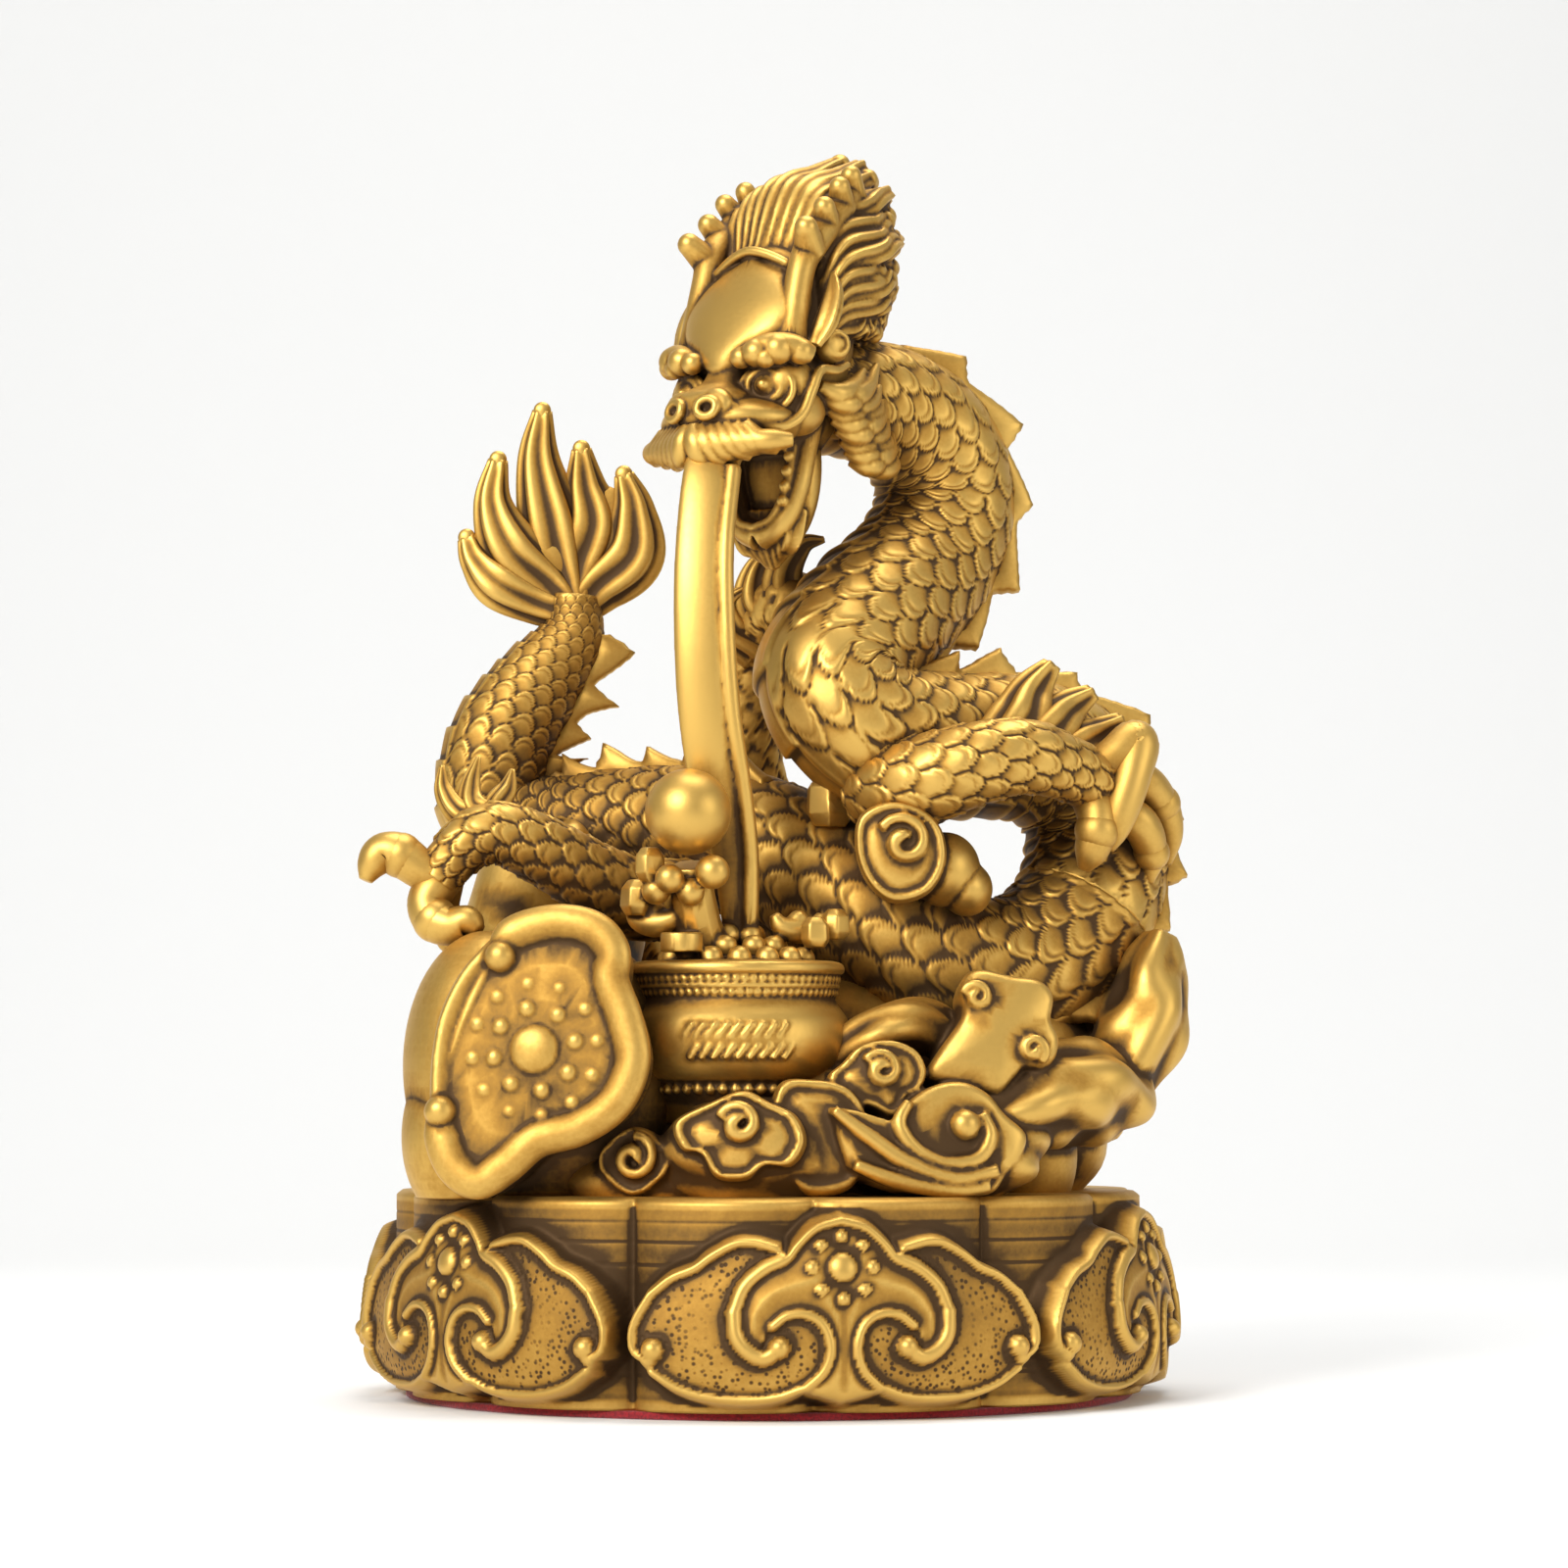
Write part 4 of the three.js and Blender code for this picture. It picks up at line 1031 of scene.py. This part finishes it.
# Upper lip: a thick moustache, combed from under the nose to a wavy lower edge
for i in range(LIP_LOCKS):
    lock = [
        (0.4 + 1.25 * i, -14.6 + 0.5 * i, -12.6, 1.4), (1.2 + 1.5 * i, -15.4 + 0.75 * i, -15, 1.9),
        (1.9 + 1.75 * i, -14.8 + 0.9 * i, -17.2 + 0.35 * i, 1.8),
        (3 + 1.9 * i, -13.4 + i, -18 + 0.5 * i - 0.8 * (i % 2), 1.1),
    ]
    both_sides(lock, 24, 20)

# Eyebrows, eyes and the folds about them
EYEBROW = [
    (4.2, -8.2, -1.6, 1.3), (6.6, -8, -0.6, 1.9), (9.6, -6.6, 0.4, 2.2), (12.4, -4.4, 0.2, 2.1),
    (14.2, -2, -0.9, 1.4),
]
EYEBROW_CURLS = (
    (5, -8.6, -1.2, 1.8), (7.6, -8.1, -0.6, 2.3), (10.6, -6.4, -0.1, 2.5), (13.2, -3.8, -0.4, 2.1),
    (9.2, -7.8, -1.5, 1.7),
)
both_sides(EYEBROW, 40, 20)
for x, y, z, size in EYEBROW_CURLS:
    for side in (-1, 1):
        on_head(ball(size, (side * x, y, z), 14))
for side in (-1, 1):
    on_head(lump((4.4, 5, 4.6), (side * 8.6, -1.5, -5), detail=22))
    on_head(lump((4.2, 6, 4.4), (side * 8.6, 0.5, -8.6), detail=22))
    on_head(ball(2.3, (side * 7.6, -5.2, -5.6), 20))
    on_head(ball(0.95, (side * 8.2, -7.2, -5.6), 12))
    ring((side * 7.8, -6.2, -5.6), (side * 0.35, -1, 0), 2.8, 0.65, 0.85)
    ring((side * 7.9, -5.8, -6.2), (side * 0.35, -1, 0), 4.4, 0.6, 0.8)
CHEEK_CORD = [
    (5, -13.4, -8.5, 0.7), (8.2, -10.4, -11, 0.85), (11, -6.6, -12.6, 0.9), (12.8, -3.2, -10.5, 0.9),
    (13.4, -1.2, -6.4, 0.9), (13.6, 0.8, -2.9, 0.85), (13.8, 4.6, -2.4, 0.8), (13.6, 8, -1, 0.6),
]
both_sides(CHEEK_CORD, 60, 12)

# Ears, and a curl on each cheek
EAR = [(13.2, -0.4, 1, 1.3), (14.4, 1.2, 5, 2.2), (14.4, 3, 9.4, 1.9), (13.2, 4.6, 13.6, 0.5)]
both_sides(EAR, 30, 20, 0.5, strand_relief)
for side in (-1, 1):
    on_head(lump((2.4, 3.0, 3.0), (side * 12.6, 5, 1.6), detail=16))
    ring((side * 14.2, 4.4, 1.8), (side, -0.45, 0), 1.7, 0.65)
    ring((side * 14.4, 4.4, 1.8), (side, -0.45, 0), 0.5, 0.5)

# Antlers: thick stems beside the forehead that bend back over the mane, with short blunt knobs
ANTLER = [
    (10, -2.6, -0.5, 2.9), (9.9, -1.4, 6, 2.4), (9.8, 0.8, 14, 2.3), (10.3, 2.8, 18, 2.6),
    (10.4, 6.4, 21.6, 2.6), (10.4, 10.6, 25.4, 2.4), (10, 14.6, 28, 2.0),
]
KNOBS = (
    ((10.3, 2.4, 17), (12, -0.9, 20), 1.9), ((10.4, 6.6, 21), (11.9, 4, 24), 1.8),
    ((10.4, 10.6, 25), (11.8, 8.2, 28), 1.7), ((10, 14, 27.4), (10.9, 12.4, 30.6), 1.7),
)
both_sides(ANTLER, 60, 22)
for near, far, size in KNOBS:
    both_sides([(*near, size * 1.4), (*far, size)], 10, 16, depth=(1, 0.2, 0))
    for side in (-1, 1):
        on_head(ball(size, (side * far[0], *far[1:]), 14))

# Hair on the cheeks: two layers of locks that sweep back and up into the mane
for layer in range(2):
    for i in range(CHEEK_LOCKS):
        sway = math.sin(2.1 * i + 1.3 * layer)
        lock = [
            (12 - 0.25 * i, 2.4 + 1.5 * i + 2.4 * layer, -5 - 1.5 * i, 1.1),
            (13.4 - 0.2 * i + 0.4 * sway, 6 + 1.3 * i + 3 * layer, -6 - 1.5 * i, 1.9),
            (13.2 - 0.2 * i, 10 + 1.2 * i + 3.4 * layer, -4.4 - 1.6 * i + 0.6 * sway, 1.7),
            (12.6 - 0.3 * i, 13.6 + i + 3.6 * layer, -1 - 1.7 * i + 1.4 * sway, 0.5),
        ]
        both_sides(lock, 24, 16)

# Lower jaw: a hollow scoop with a ridge of small teeth along each edge, and a short beard
on_head(lump((7.2, 4.6, 13.4), (0, 8.4, -16.6), detail=26))
JAW_RAIL = [
    (8.2, 6, -7, 2.2), (7.2, 5, -15, 1.9), (6.2, 4.2, -21, 1.9), (3.8, 3, -26.4, 2.1),
    (0, 2.6, -28.4, 2.3),
]
GUM_LINE = [
    (7.4, 3.4, -8, 0.7), (6.6, 2.6, -15, 0.75), (5.6, 2, -21, 0.75), (3.4, 1.2, -25.6, 0.7),
    (0, 0.8, -27, 0.7),
]
both_sides(JAW_RAIL, 40, 18)
both_sides(GUM_LINE, 40, 12)
for i in range(JAW_TEETH):
    share = i / (JAW_TEETH - 1)
    for side in (-1, 1):
        on_head(ball(0.95, (side * (6.9 - 1.5 * share), 2.4 - share, -11 - 12 * share), 8))
for i in range(BEARD_LOCKS):
    fan = (i - 3) / 3
    lock = [(4.6 * fan, 5.6, -24, 2.4), (4.2 * fan, 5, -29, 2.0), (2.4 * fan, 6, -33.4 + 3 * fan * fan, 0.5)]
    on_head(tube(lock, 20, 16, relief=strand_relief))

# Hairline over the brow, and the mane: combed strands that sweep up and back to curled ends
HAIRLINE = [(-9, 2, 12, 0.6), (-7, 0.6, 15, 0.75), (0, -0.4, 17.6, 0.8), (7, 0.6, 15, 0.75), (9, 2, 12, 0.6)]
on_head(tube(HAIRLINE, 60, 14))
for layer in range(2):
    for i in range(MANE_STRANDS):
        fan = math.radians(-126 + 252 * (i + 0.5 * layer) / (MANE_STRANDS - 1))
        sway = math.sin(2.3 * i + 1.7 * layer)
        out, up = math.sin(fan), math.cos(fan)
        low = 1 - up
        inward = 1 - 0.1 * layer
        root = (9 * out * inward, 2.4 + 3 * abs(out) + 4 * layer, 5.6 + 11.4 * up)
        near = (12.2 * out * inward, 8.4 + 3 * layer, 14 + 14.4 * up * inward)
        far = (13.0 * out * inward + 0.4 * sway, 17 + 3 * layer, 16.4 + 15.4 * up * inward + 0.8 * sway)
        behind = 23 + 1.6 * layer + 1.2 * sway - 1.4 * low
        tip = (12.2 * out * inward, behind, 17.6 + 17 * up * inward + 1.6 * sway)
        on_head(tube([(*root, 1.3), (*near, 2.0), (*far, 2.0), (*tip, 1.5)], 40, 20, relief=strand_relief))
        if (i + layer) % 3 == 0:
            on_head(ball(1.8, tip, 10))

# The back of the mane hangs in plain strands from the crown to the nape
for i in range(BACK_STRANDS):
    aside = math.radians(-66 + 11 * i)
    strand = []
    for down in (80, 40, 0, -40, -75):
        drop = math.radians(down)
        out, back, up = math.sin(aside), math.cos(aside) * math.cos(drop), math.cos(aside) * math.sin(drop)
        strand.append((11.4 * out, 15.4 + 13 * back, 16 + 15.4 * up, 1.9))
    on_head(tube(strand, 40, 20, relief=strand_relief, depth=(1, 0, 0)))
dragon_head = skull.pour("dragon_head", HEAD_VOXEL, HEAD_TRIANGLES)

# Antique finish
# All the brass is darkened with a brown patina and polished back, so that the high parts shine gold and the
# hollows stay brown. How proud each point is tells how far it was polished; how open it is to the sky adds
# painted shade, darker where other parts shelter it and paler gold where it is open.
RAYS = 8
RAY_REACH = 34.0
# Patina to pale gold: partly the brass's own patina and polishing, partly painted shade and painted light
GOLD = (0.42, 0.225, 0.042, 1.0)
PALE_GOLD = (0.64, 0.40, 0.10, 1.0)
PATINA_AND_SHADE = (0.075, 0.040, 0.015, 1.0)
BROWN = (0.20, 0.11, 0.036, 1.0)
# How much brighter or duller each piece is made, in the order of the pieces below
PIECE_BRIGHTENING = (-0.09, -0.14, 0.12, -0.1, -0.06, -0.2, -0.18, -0.06)
brass_pieces = [plinth, cloud_bank, treasure, ruyi_head, body_front, body_rear, dragon_limbs, dragon_head]


def values_of(collection, name, width):
    held = np.empty(len(collection) * width, np.float32 if name != "vertices" else np.int32)
    collection.foreach_get(name, held)
    return held.reshape(-1, width)


corners, faces, start = [], [], 0
for piece in brass_pieces:
    piece.data.calc_loop_triangles()
    corners.append(values_of(piece.data.vertices, "co", 3))
    faces.append(values_of(piece.data.loop_triangles, "vertices", 3) + start)
    start += len(piece.data.vertices)
all_corners, all_faces = np.concatenate(corners).tolist(), np.concatenate(faces).tolist()
shelter = BVHTree.FromPolygons(all_corners, all_faces, all_triangles=True)
sky = np.random.default_rng(7)


def rub_and_shade(piece, brightening):
    """How far each point was polished, plus painted shade: 0 in hollows and sheltered places, 1 on an open,
    proud place.
    """
    mesh = piece.data
    places = values_of(mesh.vertices, "co", 3) / MM
    normals = values_of(mesh.vertices, "normal", 3)
    one, two = values_of(mesh.edges, "vertices", 2).T
    count = len(places)
    shares = np.maximum(np.bincount(one, minlength=count) + np.bincount(two, minlength=count), 1)

    def eased(field, rounds):
        for _ in range(rounds):
            sums = [np.bincount(one, f[two], count) + np.bincount(two, f[one], count) for f in field.T]
            field = 0.3 * field + 0.7 * np.stack(sums, 1) / shares[:, None]
        return field

    near = eased(places, 5)
    wide = eased(near, 30)
    proud_near = ((places - near) * normals).sum(1)
    proud_wide = ((places - wide) * normals).sum(1)
    # How open each point is to the sky, from rays that other parts stop within reach. This is painted shade:
    # sheltered places are made darker.
    ways = sky.normal(size=(count, RAYS, 3)) + normals[:, None] * 1.2
    ways /= np.linalg.norm(ways, axis=2, keepdims=True)
    starts = (places + normals * 0.5) * MM
    seen = np.ones(count)
    reach = RAY_REACH * MM
    for index in range(count):
        begin = Vector(starts[index])
        for way in ways[index]:
            distance = shelter.ray_cast(begin, Vector(way), reach)[3]
            if distance is not None:
                seen[index] -= (1 - 0.6 * distance / reach) / RAYS
    seen = eased(seen[:, None], 6)[:, 0]
    # How proud a point is stands for rubbing wear on its edges and patina left in its fine hollows.
    fine = np.clip(proud_near / 0.13, -1.0, 0.6) * 0.55
    broad = np.clip(proud_wide / 0.8, -0.5, 0.5) * 0.26
    held = mesh.attributes.new("rubbed_and_shaded", "FLOAT", "POINT")
    held.data.foreach_set("value", np.clip(brightening + 0.76 * seen + fine + broad, 0, 1).astype(np.float32))


def antique_brass(name, shine, punched=False):
    material, shader, start = surface(name)
    mottle = start.noise(55.0, 5.0)
    grain = start.noise(1500.0, 4.0)
    brushed = start.noise(420.0, 3.0, (1.0, 1.0, 0.12))
    # The attribute holds rubbing wear together with painted shade from how open each point is.
    rubbed_and_shaded = start.attribute("rubbed_and_shaded") + (mottle - 0.5) * 0.5 + (grain - 0.5) * 0.2
    height = grain * 0.5 + brushed * 0.5
    if punched:
        where = start.place()
        cells = start.node("ShaderNodeTexVoronoi", {}, {"Vector": where, "Scale": 1050.0, "Randomness": 0.9})
        dents = (1 - cells.between(0.16, 0.46)) * start.attribute("punched")
        rubbed_and_shaded = rubbed_and_shaded - dents * 0.5 - start.attribute("drum") * 0.22
        height = height - dents * 4.0
    # Dark where sheltered, pale gold where open and proud: patina and polishing plus painted shade and light
    polish_and_light = rubbed_and_shaded.between(0.5, 1.0)
    wear_and_light = rubbed_and_shaded.between(0.16, 0.72)
    dull = wear_and_light.tint(PATINA_AND_SHADE, BROWN)
    feed(shader, "Base Color", polish_and_light.tint(wear_and_light.tint(dull, GOLD), PALE_GOLD))
    feed(shader, "Metallic", 0.8 + 0.2 * wear_and_light)
    feed(shader, "Roughness", 0.64 - shine * polish_and_light + (grain - 0.5) * 0.1)
    feed(shader, "Normal", height.bump(0.22, 0.00012))
    return material


for piece, brightening in zip(brass_pieces, PIECE_BRIGHTENING):
    rub_and_shade(piece, brightening)
    piece.data.materials.clear()
plinth.data.materials.append(antique_brass("plinth_brass", 0.18, punched=True))
cast_brass = antique_brass("antique_brass", 0.2)
for piece in brass_pieces[1:]:
    piece.data.materials.append(cast_brass)

# Studio
# A plain pale floor and soft light: a broad key from the upper left, a fill from the right and a top light.
CAMERA_PLACE = Vector((2.4, -720, 51)) * MM
CAMERA_AIM = Vector((2.4, 0, 99)) * MM
CAMERA_LENS = 101.25
FLOOR_HALF = 2.5

sweep = [(-FLOOR_HALF, 0.0), (0.5, 0.0)]
bends = np.linspace(0.1, np.pi / 2, 16)
sweep += [(0.5 + 0.5 * math.sin(bend), 0.5 - 0.5 * math.cos(bend)) for bend in bends]
sweep += [(1.0, FLOOR_HALF)]
edges = [(x, y, z) for y, z in sweep for x in (-FLOOR_HALF, FLOOR_HALF)]
floor = bpy.data.objects.new("floor", bpy.data.meshes.new("floor"))
floor.data.from_pydata(edges, [], [(2 * i, 2 * i + 1, 2 * i + 3, 2 * i + 2) for i in range(len(sweep) - 1)])
floor.data.polygons.foreach_set("use_smooth", [True] * len(floor.data.polygons))
bpy.context.scene.collection.objects.link(floor)
paper, paper_shader, _ = surface("pale_floor")
paper_shader.inputs["Base Color"].default_value = (0.86, 0.86, 0.85, 1)
paper_shader.inputs["Roughness"].default_value = 0.9
floor.data.materials.append(paper)

world = bpy.data.worlds.new("studio")
world.use_nodes = True
world.node_tree.nodes["Background"].inputs["Color"].default_value = (1, 1, 1, 1)
world.node_tree.nodes["Background"].inputs["Strength"].default_value = 0.45
bpy.context.scene.world = world


def soft_light(name, place, aim, size, power):
    light = bpy.data.lights.new(name, "AREA")
    light.shape = "DISK"
    light.size = size
    light.energy = power
    lamp = bpy.data.objects.new(name, light)
    lamp.location = place
    lamp.rotation_euler = (Vector(aim) - Vector(place)).to_track_quat("-Z", "Y").to_euler()
    bpy.context.scene.collection.objects.link(lamp)


soft_light("key", (-0.5, -0.8, 0.6), (0, 0, 0.09), 0.5, 11)
soft_light("fill", (0.8, -0.5, 0.35), (0, 0, 0.09), 0.6, 2)
soft_light("top", (0.1, 0.1, 0.95), (0, 0, 0.1), 0.6, 5)

camera = bpy.data.objects.new("camera", bpy.data.cameras.new("camera"))
camera.data.lens = CAMERA_LENS
camera.data.sensor_width = 36
camera.location = CAMERA_PLACE
camera.rotation_euler = (CAMERA_AIM - CAMERA_PLACE).to_track_quat("-Z", "Y").to_euler()
bpy.context.scene.collection.objects.link(camera)
bpy.context.scene.camera = camera
bpy.context.scene.view_settings.view_transform = "Standard"
